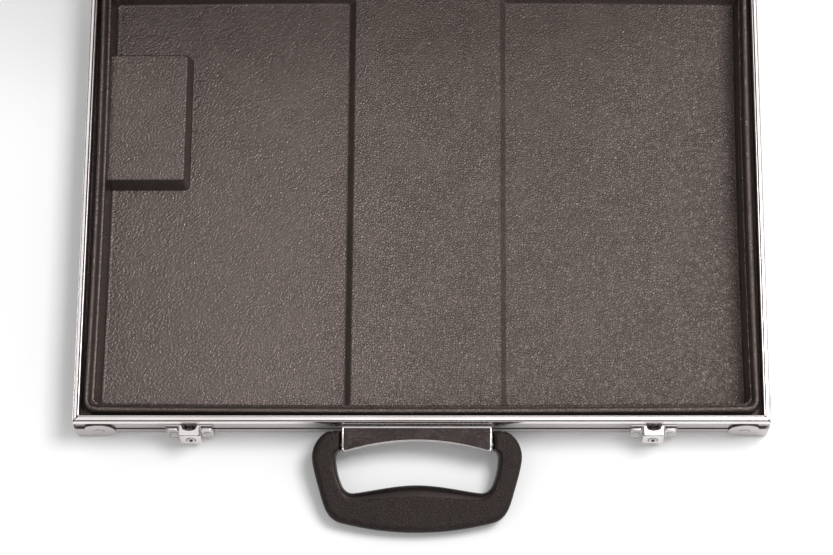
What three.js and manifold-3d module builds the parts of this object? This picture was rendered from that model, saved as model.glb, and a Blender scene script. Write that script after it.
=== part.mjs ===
// Hard knife case: two aluminium-framed halves on stop hinges, two key latches and a swinging handle.
// Millimetres, +Z up, -Y is the front (the handle side), origin at the centre of the base underside.

import * as THREE from 'three';
import { mergeVertices } from 'three/addons/utils/BufferGeometryUtils.js';
import Module from 'manifold-3d';

const wasm = await Module();
wasm.setup();

// Case
const CASE_W = 450;
const CASE_D = 320;
const HALF_H = 34;
const RIM_GAP = 0.3;
const LID_OPEN = THREE.MathUtils.degToRad(90);
const CLEAR = 0.3;
const RUN_CLEAR = 0.25;

// Rail section: u runs inward from the outermost plane, z up from the underside
const RAIL_TOP_W = 4.9;
const RAIL_WALL = 1.7;
const RAIL_SETBACK = 0.7;
const RAIL_LIP_IN = 8;
const RAIL_LIP_Z = 0.6;
const LIP_T = 1.4;
const FLANGE_T = 1.8;
const TOP_GROOVE_U = 3.1;
const TOP_GROOVE_W = 0.3;
const TOP_GROOVE_DEEP = 0.5;
const BEAD_RISE = 0.5;
const EDGE_GROOVE_DOWN = 1.2;
const SIDE_BEAD_TOP = 1.7;
const SIDE_BEAD_BOTTOM = 6.2;
const FACE_GROOVE_Z = 16.7;
const FACE_GROOVE_H = 1.4;
const FACE_GROOVE_DEEP = 0.8;
const CHAMFER_Z = 6;
const MITRE_GAP = 0.1;

// Panels
const PANEL_T = 4.1;
const PANEL_TONGUE_T = 1.8;
const PANEL_CORNER_R = 4;

// Inner trays
const TRAY_X = 1;
const TRAY_T = 2.6;
const RIM_T = 2.2;
const RIDGE_IN_SIDE = 10.3;
const RIDGE_IN_FRONT = 8.6;
const RIDGE_W = 3.9;
const RIDGE_H = 1.5;
const DRAFT_SIDE = 2.6;
const DRAFT_FRONT = 6.2;
const TRAY_CORNER_R = 4.5;
const FLOOR_CORNER_R = 3;
const FLOOR_FILLET = 1.4;
const BAND_LEFT = -47;
const BAND_RIGHT = 51.4;
const BAND_H = 7;
const BAND_SLOPE = 4;
const BLOCK_W = 50.5;
const BLOCK_Y0 = 9.9;
const BLOCK_Y1 = 99.4;
const BLOCK_H = 14;
const BLOCK_DRAFT = 2.4;
const LID_TRAY_DEPTH = 22;

// Corner plates and braces
const PLATE_T = 1.2;
const CORNER_LEN = 26;
const CORNER_Z0 = 0.9;
const CORNER_PEAK_IN = 14.5;
const CORNER_NECK_TOP = 18.5;
const CORNER_EDGE_R = 2.5;
const CORNER_RIVET_IN = 15.5;
const BRACE_LEN = 22;
const BRACE_T = 1.6;
const BRACE_Z0 = 8;
const BRACE_Z1 = 25;

// Rivets
const RIVET_R = 1.3;
const RIVET_HEAD_R = 2.6;
const RIVET_HEAD_H = 0.9;
const RIVET_CLEAR = 0.15;

// Facets round a small hole or rivet, and round a larger turned piece
const RIVET_SIDES = 8;
const ROUND_SIDES = 14;

// Latches
const LATCH_IN = 75;
const LATCH_W = 29.6;
const LATCH_Z0 = 4.6;
const WING_W = 7.6;
const WING_OUT = 2;
const BODY_W = 12.6;
const BODY_OUT = 6.5;
const BODY_WALL = 1.1;
const CHEEK_T = 1.7;
const BODY_TOP_T = 2.3;
const BODY_Z0 = 17.4;
const MOUTH_W = 11;
const MOUTH_NECK_W = 8.8;
const MOUTH_NECK_OUT = 2.4;
const MOUTH_SCOOP = 2;
const LATCH_RIVET_X = 10.9;
const LATCH_RIVET_Z = 13;
const PIVOT_OUT = 3.2;
const PIVOT_Z = 19;
const PIVOT_PIN_R = 0.7;
const HUB_R = 1.7;
const LEVER_OPEN = THREE.MathUtils.degToRad(14);
const FLAP_LEAN_SHUT = THREE.MathUtils.degToRad(4);
const FLAP_W = 13.4;
const FLAP_T = 2.2;
const FLAP_FACE = 1.9;
const FLAP_TOP = 2.4;
const FLAP_H = 9.9;
const NOSE_W = 4;
const NOSE_T = 1;
const NOSE_TOP = 5.8;
const HOOK_H = 1.6;
const HOOK_OUT = 1.1;
const PLUG_R = 3;
const PLUG_PROUD = 0.35;
const PLUG_COLLAR_R = 3.9;
const PLUG_COLLAR_T = 0.7;
const KEYWAY_W = 0.9;
const KEYWAY_H = 3.4;
const KEYWAY_DEEP = 1.3;

// Lid catches
const TONGUE_W = 6.6;
const TONGUE_T = 0.9;
const TONGUE_OUT = 2.6;
const TONGUE_WINDOW_W = 4.8;
const CATCH_W = 16;
const CATCH_Z0 = 2.2;
const CATCH_H = 17;
const CATCH_JOG_H = 2.2;
const CATCH_RIVET_X = 5;
const CATCH_RIVET_UP = 12.5;

// Handle
const HANDLE_X = -3;
const BRACKET_W = 96.6;
const BRACKET_OUT = 17.5;
const BRACKET_MID_OUT = 10;
const BRACKET_TOP = 25;
const BRACKET_H = 13;
const BRACKET_WALL = 1.6;
const BRACKET_RIVET_X = 30;
const BRACKET_RIVET_Z = 16;
const HANDLE_PIVOT_OUT = 11;
const HANDLE_PIVOT_Z = 18;
const HANDLE_PIN_R = 2;
const HANDLE_PIN_HEAD_R = 3.2;
const HANDLE_PIN_IN_ARM = 7.5;
const HANDLE_ROOT = 9;
const HANDLE_T = 13;
const HANDLE_BEVEL = 2.6;
const HANDLE_REACH = 56.8;
const HANDLE_HALF_W = 67.3;
const GRIP_INNER = 26.1;
const ARM_INNER = 52.3;
const FLOOR_CLEAR = 0.15;

// Hinges
const HINGE_IN = 95;
const HINGE_W = 40;
const HINGE_AXIS_OUT = 3.2;
const KNUCKLE_R = 2.4;
const HINGE_PIN_R = 1.2;
const LID_KNUCKLE_W = 15.2;
const KNUCKLE_GAP = 0.4;
const LEAF_T = 1.2;
const LEAF_H = 18;
const LEAF_RIVET_X = 12;
const LEAF_RIVET_DOWN = 12;
const STRIP_END = 20;
const STRIP_H = 12;

// Feet on the back
const FOOT_IN = 47;
const FOOT_Z = 14;
const FOOT_R = 7;
const FOOT_TIP_R = 5.6;
const FOOT_OUT = 8.6;
const FOOT_STEM_R = 2;
const FOOT_BARB_R = 2.9;
const FOOT_BARB_T = 1.4;

// Places that follow from the sizes above
const LATCH_X = CASE_W / 2 - LATCH_IN;
const HINGE_X = CASE_W / 2 - HINGE_IN;
const FOOT_X = CASE_W / 2 - FOOT_IN;
const PARTING_Z = HALF_H + RIM_GAP / 2;
const HINGE_Y = CASE_D / 2 + HINGE_AXIS_OUT;
const WALL_IN = RAIL_SETBACK + RAIL_WALL;
const BACKING_IN = WALL_IN + CLEAR;
const SEAT = RAIL_SETBACK - CLEAR;
const PLATE_FACE = SEAT - PLATE_T;
const SIDE_BEAD_Z0 = HALF_H - SIDE_BEAD_BOTTOM;
const HARDWARE_TOP = SIDE_BEAD_Z0 - 2 * CLEAR;
const SLOT_Z0 = RAIL_LIP_Z + LIP_T;
const SLOT_Z1 = PANEL_T + CLEAR;
const FLANGE_Z = HALF_H - FLANGE_T;
const TRAY_RIM_Z = FLANGE_Z - CLEAR;
const TRAY_UNDER_Z = PANEL_T + CLEAR;
const FLOOR_Z = TRAY_UNDER_Z + TRAY_T;
const TONGUE_TIP_Z = PIVOT_Z + HUB_R + 2 * CLEAR;

const finishes = {
  aluminium: { color: 0xd8d3d0, roughness: 0.3, metalness: 1 },
  nickel: { color: 0xc6bfbc, roughness: 0.28, metalness: 1 },
  chrome: { color: 0xd9d5d3, roughness: 0.12, metalness: 1 },
  steel: { color: 0x9a9694, roughness: 0.45, metalness: 1 },
  liner: { color: 0x4d4442, roughness: 0.55, metalness: 0 },
  panel: { color: 0x2b2625, roughness: 0.6, metalness: 0 },
  grip: { color: 0x2f2827, roughness: 0.5, metalness: 0 },
  rubber: { color: 0x1e1c1b, roughness: 0.8, metalness: 0 },
};

function paint(finish) {
  return new THREE.MeshStandardMaterial({ ...finishes[finish], flatShading: true });
}

// A closed three.js geometry as a solid that can be cut and joined
function solidOf(geometry) {
  const bare = geometry.clone();
  bare.deleteAttribute('normal');
  bare.deleteAttribute('uv');
  const merged = mergeVertices(bare, 1e-4);
  const triangles = [];
  const index = merged.index.array;
  for (let i = 0; i < index.length; i += 3) {
    const [a, b, c] = [index[i], index[i + 1], index[i + 2]];
    if (a !== b && b !== c && c !== a) triangles.push(a, b, c);
  }
  return new wasm.Manifold(new wasm.Mesh({
    numProp: 3,
    vertProperties: new Float32Array(merged.attributes.position.array),
    triVerts: new Uint32Array(triangles),
  }));
}

function geometryOf(solid) {
  const mesh = solid.getMesh();
  const geometry = new THREE.BufferGeometry();
  geometry.setAttribute('position', new THREE.BufferAttribute(new Float32Array(mesh.vertProperties), 3));
  geometry.setIndex(new THREE.BufferAttribute(new Uint32Array(mesh.triVerts), 1));
  geometry.computeVertexNormals();
  return geometry;
}

function join(...solids) {
  return solids.reduce((sum, solid) => sum.add(solid));
}

function cut(solid, ...tools) {
  return tools.reduce((rest, tool) => rest.subtract(tool), solid);
}

function piece(name, solid, finish, parent) {
  const mesh = new THREE.Mesh(geometryOf(solid), paint(finish));
  mesh.name = name;
  parent.add(mesh);
  return mesh;
}

function box(x0, x1, y0, y1, z0, z1) {
  const geometry = new THREE.BoxGeometry(x1 - x0, y1 - y0, z1 - z0);
  geometry.translate((x0 + x1) / 2, (y0 + y1) / 2, (z0 + z1) / 2);
  return solidOf(geometry);
}

// A round bar along X or Y
function barX(radius, x0, x1, y, z, sides = ROUND_SIDES) {
  const geometry = new THREE.CylinderGeometry(radius, radius, x1 - x0, sides);
  geometry.rotateZ(Math.PI / 2);
  geometry.translate((x0 + x1) / 2, y, z);
  return solidOf(geometry);
}

function barY(radius, y0, y1, x, z, sides = ROUND_SIDES) {
  const geometry = new THREE.CylinderGeometry(radius, radius, y1 - y0, sides);
  geometry.translate(x, (y0 + y1) / 2, z);
  return solidOf(geometry);
}

// A turned shape on an axis along Y: the profile gives [radius, y]
function turnedY(profile, x, z, sides = ROUND_SIDES) {
  const points = profile.map(([r, y]) => new THREE.Vector2(r, y));
  const geometry = new THREE.LatheGeometry(points, sides);
  geometry.translate(x, 0, z);
  return solidOf(geometry);
}

// A flat outline, given as [x, y] points, pulled up from z0 to z1
function slab(points, z0, z1) {
  const shape = new THREE.Shape(points.map(([x, y]) => new THREE.Vector2(x, y)));
  const geometry = new THREE.ExtrudeGeometry(shape, { depth: z1 - z0, bevelEnabled: false });
  geometry.translate(0, 0, z0);
  return solidOf(geometry);
}

// A rectangle with rounded corners at height z, with a few steps round each quarter turn
function ring(x0, x1, y0, y1, radius, z, steps) {
  const centres = [
    [x1 - radius, y1 - radius],
    [x0 + radius, y1 - radius],
    [x0 + radius, y0 + radius],
    [x1 - radius, y0 + radius],
  ];
  const points = [];
  centres.forEach(([cx, cy], corner) => {
    for (let i = 0; i <= steps; i += 1) {
      const angle = (corner + i / steps) * Math.PI / 2;
      points.push([cx + radius * Math.cos(angle), cy + radius * Math.sin(angle), z]);
    }
  });
  return points;
}

// A closed body through rings with the same number of points, from the lowest to the highest
function loft(rings) {
  const count = rings[0].length;
  const positions = [];
  const triangle = (a, b, c) => positions.push(...a, ...b, ...c);
  const middle = (points) => {
    const sum = points.reduce((total, [x, y]) => [total[0] + x, total[1] + y], [0, 0]);
    return [sum[0] / count, sum[1] / count, points[0][2]];
  };
  const low = rings[0];
  const high = rings[rings.length - 1];
  for (let i = 0; i < count; i += 1) {
    const next = (i + 1) % count;
    triangle(middle(low), low[next], low[i]);
    triangle(middle(high), high[i], high[next]);
    for (let r = 0; r + 1 < rings.length; r += 1) {
      triangle(rings[r][i], rings[r][next], rings[r + 1][next]);
      triangle(rings[r][i], rings[r + 1][next], rings[r + 1][i]);
    }
  }
  const geometry = new THREE.BufferGeometry();
  geometry.setAttribute('position', new THREE.Float32BufferAttribute(positions, 3));
  return solidOf(geometry);
}

// A bar along X with mitred ends: at a distance u inward it is shorter by u at each end
function mitredBar(section, length) {
  const half = length / 2 - MITRE_GAP;
  const outline = section.map(([u, z]) => new THREE.Vector2(u, z));
  if (THREE.ShapeUtils.area(outline) < 0) outline.reverse();
  const faces = THREE.ShapeUtils.triangulateShape(outline, []);
  const left = outline.map(({ x: u, y: z }) => [-(half - u), u, z]);
  const right = outline.map(({ x: u, y: z }) => [half - u, u, z]);
  const positions = [];
  const triangle = (a, b, c) => positions.push(...a, ...b, ...c);
  faces.forEach(([a, b, c]) => {
    triangle(right[a], right[b], right[c]);
    triangle(left[a], left[c], left[b]);
  });
  outline.forEach((_, i) => {
    const next = (i + 1) % outline.length;
    triangle(left[i], left[next], right[next]);
    triangle(left[i], right[next], right[i]);
  });
  const geometry = new THREE.BufferGeometry();
  geometry.setAttribute('position', new THREE.Float32BufferAttribute(positions, 3));
  return solidOf(geometry);
}

// The rail's outline, with a raised bead on the base rim and a rebate for it on the lid rim
function railSection(isLid) {
  const rimGroove = TOP_GROOVE_U + TOP_GROOVE_W;
  const base = [
    [TOP_GROOVE_U, HALF_H],
    [TOP_GROOVE_U, HALF_H - TOP_GROOVE_DEEP],
    [rimGroove, HALF_H - TOP_GROOVE_DEEP],
    [rimGroove, HALF_H + BEAD_RISE],
    [RAIL_TOP_W, HALF_H + BEAD_RISE],
  ];
  const rebate = TOP_GROOVE_U - CLEAR;
  const lid = [
    [rebate, HALF_H],
    [rebate, HALF_H - BEAD_RISE - CLEAR],
    [RAIL_TOP_W, HALF_H - BEAD_RISE - CLEAR],
  ];
  const grooveLow = FACE_GROOVE_Z - FACE_GROOVE_H / 2;
  const grooveHigh = FACE_GROOVE_Z + FACE_GROOVE_H / 2;
  return [
    ...(isLid ? lid : base),
    [RAIL_TOP_W, FLANGE_Z],
    [WALL_IN, FLANGE_Z],
    [WALL_IN, SLOT_Z1 + LIP_T],
    [RAIL_LIP_IN, SLOT_Z1 + LIP_T],
    [RAIL_LIP_IN, SLOT_Z1],
    [WALL_IN + CLEAR, SLOT_Z1],
    [WALL_IN + CLEAR, SLOT_Z0],
    [RAIL_LIP_IN, SLOT_Z0],
    [RAIL_LIP_IN, RAIL_LIP_Z],
    [WALL_IN + 2 * CLEAR, RAIL_LIP_Z],
    [RAIL_SETBACK + 2 * CLEAR, CHAMFER_Z / 2],
    [RAIL_SETBACK, CHAMFER_Z],
    [RAIL_SETBACK, grooveLow - CLEAR],
    [RAIL_SETBACK + FACE_GROOVE_DEEP, grooveLow],
    [RAIL_SETBACK + FACE_GROOVE_DEEP, grooveHigh],
    [RAIL_SETBACK, grooveHigh + CLEAR],
    [RAIL_SETBACK, SIDE_BEAD_Z0],
    [CLEAR, SIDE_BEAD_Z0 + CLEAR],
    [0, SIDE_BEAD_Z0 + 4 * CLEAR],
    [0, HALF_H - SIDE_BEAD_TOP - 2 * CLEAR],
    [CLEAR, HALF_H - SIDE_BEAD_TOP],
    [RAIL_SETBACK, HALF_H - SIDE_BEAD_TOP + CLEAR],
    [RAIL_SETBACK, HALF_H - EDGE_GROOVE_DOWN + CLEAR],
    [CLEAR, HALF_H - 2 * CLEAR],
    [RAIL_SETBACK, HALF_H],
  ];
}

// A rivet along Y: its shank starts inside the case and its domed head sits on headY, outside
function rivet(x, z, shankEnd, headY) {
  const dome = [
    [0, headY - RIVET_HEAD_H],
    [RIVET_HEAD_R * 0.6, headY - RIVET_HEAD_H * 0.8],
    [RIVET_HEAD_R, headY],
    [0, headY],
  ];
  const gap = 0.1;
  const head = turnedY(dome.map(([r, y]) => [r, y - gap]), x, z, RIVET_SIDES);
  return join(barY(RIVET_R, headY - 2 * gap, shankEnd, x, z, RIVET_SIDES), head);
}

function rivetHole(x, z, y0, y1) {
  return barY(RIVET_R + RIVET_CLEAR, y0, y1, x, z, RIVET_SIDES);
}

const sides = [
  { name: 'front', turn: 0, x: 0, y: -CASE_D / 2, length: CASE_W },
  { name: 'right', turn: Math.PI / 2, x: CASE_W / 2, y: 0, length: CASE_D },
  { name: 'back', turn: Math.PI, x: 0, y: CASE_D / 2, length: CASE_W },
  { name: 'left', turn: -Math.PI / 2, x: -CASE_W / 2, y: 0, length: CASE_D },
];

const corners = [
  { name: 'front_left', turn: 0, x: -CASE_W / 2, y: -CASE_D / 2 },
  { name: 'front_right', turn: Math.PI / 2, x: CASE_W / 2, y: -CASE_D / 2 },
  { name: 'back_right', turn: Math.PI, x: CASE_W / 2, y: CASE_D / 2 },
  { name: 'back_left', turn: -Math.PI / 2, x: -CASE_W / 2, y: CASE_D / 2 },
];

function place(mesh, { turn, x, y }) {
  mesh.rotation.z = turn;
  mesh.position.set(x, y, 0);
}

const cornerRivetZ = (CORNER_Z0 + HARDWARE_TOP) / 2;

// Rails with their rivet and foot holes; extra holes are [x, z, radius] on the front or back rail
function addRails(parent, prefix, names, isLid, extraHoles) {
  const section = railSection(isLid);
  sides.forEach((side) => {
    const end = side.length / 2 - CORNER_RIVET_IN;
    const holes = [-end, end].map((x) => [x, cornerRivetZ, RIVET_R + RIVET_CLEAR]);
    const drills = holes.concat(extraHoles[side.name] ?? [])
      .map(([x, z, radius]) => barY(radius, -CLEAR, WALL_IN + CLEAR, x, z, RIVET_SIDES));
    const rail = cut(mitredBar(section, side.length), ...drills);
    place(piece(`${prefix}_rail_${names(side.name)}`, rail, 'aluminium', parent), side);
  });
}

// One wing of a corner plate: half round at the far end, lower where it bends round the corner
function cornerWing(y0) {
  const reach = CORNER_LEN - CORNER_PEAK_IN;
  const half = (HARDWARE_TOP - CORNER_Z0) / 2;
  const end = new THREE.EllipseCurve(CORNER_PEAK_IN, cornerRivetZ, reach, half, -Math.PI / 2, Math.PI / 2);
  const neck = new THREE.QuadraticBezierCurve(
    new THREE.Vector2(CORNER_PEAK_IN, HARDWARE_TOP),
    new THREE.Vector2(CORNER_PEAK_IN / 2, HARDWARE_TOP),
    new THREE.Vector2(PLATE_FACE, CORNER_NECK_TOP),
  );
  const shape = new THREE.Shape([
    new THREE.Vector2(PLATE_FACE, CORNER_Z0),
    ...end.getPoints(ROUND_SIDES / 2),
    ...neck.getPoints(4).slice(1),
  ]);
  const geometry = new THREE.ExtrudeGeometry(shape, { depth: PLATE_T, bevelEnabled: false });
  geometry.rotateX(Math.PI / 2);
  geometry.translate(0, y0 + PLATE_T, 0);
  return geometry;
}

function cornerPlate() {
  const front = solidOf(cornerWing(PLATE_FACE));
  const side = solidOf(cornerWing(-SEAT).rotateZ(Math.PI / 2));
  const reach = 2 * CORNER_LEN;
  const round = loft([
    ring(PLATE_FACE, reach, PLATE_FACE, reach, CORNER_EDGE_R, 0, 3),
    ring(PLATE_FACE, reach, PLATE_FACE, reach, CORNER_EDGE_R, HALF_H, 3),
  ]);
  const drillFront = rivetHole(CORNER_RIVET_IN, cornerRivetZ, -3, 3);
  const drillSide = barX(RIVET_R + RIVET_CLEAR, -3, 3, CORNER_RIVET_IN, cornerRivetZ, RIVET_SIDES);
  return cut(join(front, side).intersect(round), drillFront, drillSide);
}

function cornerBrace() {
  const inner = BACKING_IN + BRACE_T;
  const frontLeg = box(BACKING_IN, BRACE_LEN, BACKING_IN, inner, BRACE_Z0, BRACE_Z1);
  const sideLeg = box(BACKING_IN, inner, BACKING_IN, BRACE_LEN, BRACE_Z0, BRACE_Z1);
  const head = PLATE_FACE;
  const front = rivet(CORNER_RIVET_IN, cornerRivetZ, BACKING_IN + BRACE_T / 2, head);
  const turned = geometryOf(rivet(-CORNER_RIVET_IN, cornerRivetZ, BACKING_IN + BRACE_T / 2, head));
  const side = solidOf(turned.rotateZ(-Math.PI / 2));
  return join(frontLeg, sideLeg, front, side);
}

function addCorners(parent, prefix, names) {
  corners.forEach((corner) => {
    const name = names(corner.name);
    place(piece(`${prefix}_corner_plate_${name}`, cornerPlate(), 'nickel', parent), corner);
    place(piece(`${prefix}_corner_brace_${name}`, cornerBrace(), 'steel', parent), corner);
  });
}

// The board that closes a half: its edge tongue sits in the rail's slot, its field lies flush outside
function addPanel(parent, name) {
  const tongueIn = WALL_IN + 2 * CLEAR;
  const fieldIn = RAIL_LIP_IN + 2 * CLEAR;
  const [w, d] = [CASE_W / 2, CASE_D / 2];
  const [tongueW, tongueD] = [w - tongueIn, d - tongueIn];
  const tongue = box(-tongueW, tongueW, -tongueD, tongueD, PANEL_T - PANEL_TONGUE_T, PANEL_T);
  const field = (inset, z) => ring(-w + inset, w - inset, -d + inset, d - inset, PANEL_CORNER_R, z, 3);
  const core = loft([
    field(fieldIn + 1, 0),
    field(fieldIn, 1),
    field(fieldIn, PANEL_T - PANEL_TONGUE_T / 2),
  ]);
  piece(name, join(tongue, core), 'panel', parent);
}

// A ring of the tray at a distance in from the case's faces
function trayRing(inSide, inFront, radius, z) {
  const [w, d] = [CASE_W / 2, CASE_D / 2];
  return ring(TRAY_X - w + inSide, TRAY_X + w - inSide, -d + inFront, d - inFront, radius, z, 5);
}

// How far in from the ridge's centre a leaning wall is at a height
function wallIn(z, draft) {
  return RIDGE_W / 2 + 0.4 + draft * (HALF_H - z) / (HALF_H - FLOOR_Z);
}

// A ring of the tray's wall at a height, moved inward by an extra distance
function wallRing(z, extra, radius) {
  return trayRing(
    RIDGE_IN_SIDE + wallIn(z, DRAFT_SIDE) + extra,
    RIDGE_IN_FRONT + wallIn(z, DRAFT_FRONT) + extra,
    radius,
    z,
  );
}

// The tray's cavity from a height up past the rim
function trayCavity(z0, fillet) {
  return loft([
    wallRing(z0, fillet, FLOOR_CORNER_R),
    wallRing(z0 + fillet * 0.3, fillet * 0.3, FLOOR_CORNER_R),
    wallRing(z0 + fillet, 0, FLOOR_CORNER_R),
    wallRing(HALF_H - 1, 0, TRAY_CORNER_R),
    wallRing(HALF_H + 2, 0, TRAY_CORNER_R),
  ]);
}

function trayShell(underZ) {
  const [w, d] = [CASE_W / 2, CASE_D / 2];
  const lipIn = WALL_IN + CLEAR;
  const lip = box(-w + lipIn, w - lipIn, -d + lipIn, d - lipIn, TRAY_RIM_Z - RIM_T, TRAY_RIM_Z);
  const under = (z, extra) => wallRing(z, extra - TRAY_T, TRAY_CORNER_R + TRAY_T);
  const bowl = loft([under(underZ, 2), under(underZ + 2, 0), under(TRAY_RIM_Z - RIM_T / 2, 0)]);
  const ridge = (extra, z) => trayRing(
    RIDGE_IN_SIDE - RIDGE_W / 2 + extra,
    RIDGE_IN_FRONT - RIDGE_W / 2 + extra,
    TRAY_CORNER_R + RIDGE_W,
    z,
  );
  const crown = loft([
    ridge(0, TRAY_RIM_Z - RIM_T / 2),
    ridge(0, TRAY_RIM_Z + RIDGE_H * 0.4),
    ridge(RIDGE_W * 0.15, TRAY_RIM_Z + RIDGE_H * 0.8),
    ridge(RIDGE_W * 0.4, TRAY_RIM_Z + RIDGE_H),
  ]);
  return join(lip, bowl, crown);
}

// A side compartment between the tray's end wall and the centre band
function compartment(x0, x1, x0Low, x1Low) {
  const yTop = CASE_D / 2 - RIDGE_IN_FRONT - wallIn(FLOOR_Z + BAND_H, DRAFT_FRONT);
  const yLow = CASE_D / 2 - RIDGE_IN_FRONT - wallIn(FLOOR_Z, DRAFT_FRONT);
  const at = (a, b, y, z) => ring(a, b, -y, y, FLOOR_CORNER_R, z, 4);
  const slope = (low, high, t) => low + (high - low) * t;
  return loft([
    at(x0Low + FLOOR_FILLET, x1Low - FLOOR_FILLET, yLow - FLOOR_FILLET, FLOOR_Z),
    at(slope(x0Low, x0, 0.2), slope(x1Low, x1, 0.2), slope(yLow, yTop, 0.2), FLOOR_Z + BAND_H * 0.2),
    at(x0, x1, yTop, FLOOR_Z + BAND_H),
    at(x0, x1, yTop, FLOOR_Z + BAND_H + 1),
  ]);
}

// A raised block against the left wall, or the hollow under it when shrunk by a wall
function blockBody(shrink, z0) {
  const left = TRAY_X - CASE_W / 2 + RIDGE_IN_SIDE + wallIn(FLOOR_Z + BLOCK_H, DRAFT_SIDE);
  const top = FLOOR_Z + BLOCK_H - shrink;
  const at = (spread, radius, z) => ring(
    left - TRAY_T + shrink * 2 - Math.min(spread, 0),
    left + BLOCK_W + spread - shrink,
    BLOCK_Y0 - spread + shrink,
    BLOCK_Y1 + spread - shrink,
    radius,
    z,
    3,
  );
  return loft([
    at(BLOCK_DRAFT, 2.5, z0),
    at(BLOCK_DRAFT * 0.3, 2.5, top - 3),
    at(0, 2, top - 0.8),
    at(-0.8, 1.5, top),
  ]);
}

function addBaseTray(parent) {
  const bandTop = FLOOR_Z + BAND_H;
  const wallX = CASE_W / 2 - RIDGE_IN_SIDE;
  const leftWall = (z) => TRAY_X - wallX + wallIn(z, DRAFT_SIDE);
  const rightWall = (z) => TRAY_X + wallX - wallIn(z, DRAFT_SIDE);
  const left = compartment(leftWall(bandTop), BAND_LEFT, leftWall(FLOOR_Z), BAND_LEFT - BAND_SLOPE);
  const right = compartment(BAND_RIGHT, rightWall(bandTop), BAND_RIGHT + BAND_SLOPE, rightWall(FLOOR_Z));
  const hollow = cut(trayShell(TRAY_UNDER_Z), trayCavity(bandTop, 1.5), left, right);
  const end = CASE_D / 2 - RIDGE_IN_FRONT - wallIn(FLOOR_Z, DRAFT_FRONT) - TRAY_T;
  const [bandX0, bandX1] = [BAND_LEFT + TRAY_T, BAND_RIGHT - TRAY_T];
  const underBand = box(bandX0, bandX1, -end, end, TRAY_UNDER_Z - 1, bandTop - TRAY_T);
  const withBlock = join(cut(hollow, underBand), blockBody(0, FLOOR_Z - 1));
  piece('base_liner', cut(withBlock, blockBody(TRAY_T, TRAY_UNDER_Z - 1)), 'liner', parent);
}

function addLidTray(parent) {
  const floor = HALF_H - LID_TRAY_DEPTH;
  const shell = trayShell(floor - TRAY_T);
  piece('lid_liner', cut(shell, trayCavity(floor, FLOOR_FILLET)), 'liner', parent);
}

// A flat bar inside a rail that ties a row of rivets together
function rivetedBacking(halfW, z0, z1, rivets, headY) {
  const plate = box(-halfW, halfW, BACKING_IN, BACKING_IN + BRACE_T, z0, z1);
  return join(plate, ...rivets.map(([x, z]) => rivet(x, z, BACKING_IN + BRACE_T / 2, headY)));
}

function latchHousing() {
  const half = LATCH_W / 2;
  const plate = box(-half, half, PLATE_FACE, SEAT, LATCH_Z0, HARDWARE_TOP);
  const wing = (side) => {
    const inner = half - WING_W;
    const [x0, x1] = side < 0 ? [-half, -inner] : [inner, half];
    const lower = LATCH_Z0 + 2;
    return join(
      box(x0, x1, -WING_OUT, SEAT, lower, HARDWARE_TOP),
      box(x0 + 1, x1 - 1, -WING_OUT, SEAT, LATCH_Z0, lower + 1),
    );
  };
  const body = box(-BODY_W / 2, BODY_W / 2, -BODY_OUT, SEAT, BODY_Z0, HARDWARE_TOP);
  const room = BODY_W / 2 - CHEEK_T;
  const cavityTop = HARDWARE_TOP - BODY_TOP_T;
  const cavity = box(-room, room, -BODY_OUT + BODY_WALL, PLATE_FACE, BODY_Z0 - 1, cavityTop);
  const noseRoom = NOSE_W / 2 + 1;
  const window = box(-noseRoom, noseRoom, -1.5, SEAT + 1, BODY_Z0, HARDWARE_TOP - 1);
  const mouth = [[-MOUTH_W / 2, PLATE_FACE]];
  for (let i = 0; i <= ROUND_SIDES / 2; i += 1) {
    const angle = Math.PI + i * 2 * Math.PI / ROUND_SIDES;
    const y = -MOUTH_NECK_OUT + MOUTH_SCOOP * Math.sin(angle);
    mouth.push([MOUTH_NECK_W / 2 * Math.cos(angle), y]);
  }
  mouth.push([MOUTH_W / 2, PLATE_FACE]);
  const opening = slab(mouth, cavityTop - 1, HARDWARE_TOP + 1);
  const pinHole = barX(PIVOT_PIN_R + 0.1, -BODY_W, BODY_W, -PIVOT_OUT, PIVOT_Z, RIVET_SIDES);
  const rivets = [-1, 1].map((s) => rivetHole(s * LATCH_RIVET_X, LATCH_RIVET_Z, -5, 3));
  return cut(join(plate, wing(-1), wing(1), body), cavity, window, opening, pinHole, ...rivets);
}

// The lever about its own pivot, shut: the nose upright with its hook out, the flap below leaning in
function latchLever() {
  const hub = barX(HUB_R, -BODY_W / 2 + CHEEK_T + CLEAR, BODY_W / 2 - CHEEK_T - CLEAR, 0, 0);
  const bore = barX(PIVOT_PIN_R + RUN_CLEAR, -BODY_W, BODY_W, 0, 0, RIVET_SIDES);
  const neckW = BODY_W / 2 - CHEEK_T - CLEAR;
  const neck = box(-neckW, neckW, -FLAP_FACE, FLAP_T - FLAP_FACE, -FLAP_TOP - 1, 0);
  const flap = box(
    -FLAP_W / 2, FLAP_W / 2, -FLAP_FACE, FLAP_T - FLAP_FACE, -FLAP_TOP - FLAP_H, -FLAP_TOP,
  );
  const plugBore = barY(PLUG_R + RUN_CLEAR, -5, 5, 0, -FLAP_TOP - FLAP_H / 2);
  const lower = geometryOf(cut(join(neck, flap), plugBore)).rotateX(FLAP_LEAN_SHUT);
  const stemFront = PIVOT_OUT - TONGUE_OUT + CLEAR;
  const stemBack = stemFront + NOSE_T;
  const stem = box(-NOSE_W / 2, NOSE_W / 2, stemFront, stemBack, 0, NOSE_TOP);
  const hook = box(-NOSE_W / 2, NOSE_W / 2, stemFront - HOOK_OUT, stemBack, NOSE_TOP - HOOK_H, NOSE_TOP);
  return cut(join(hub, solidOf(lower), stem, hook), bore);
}

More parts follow.
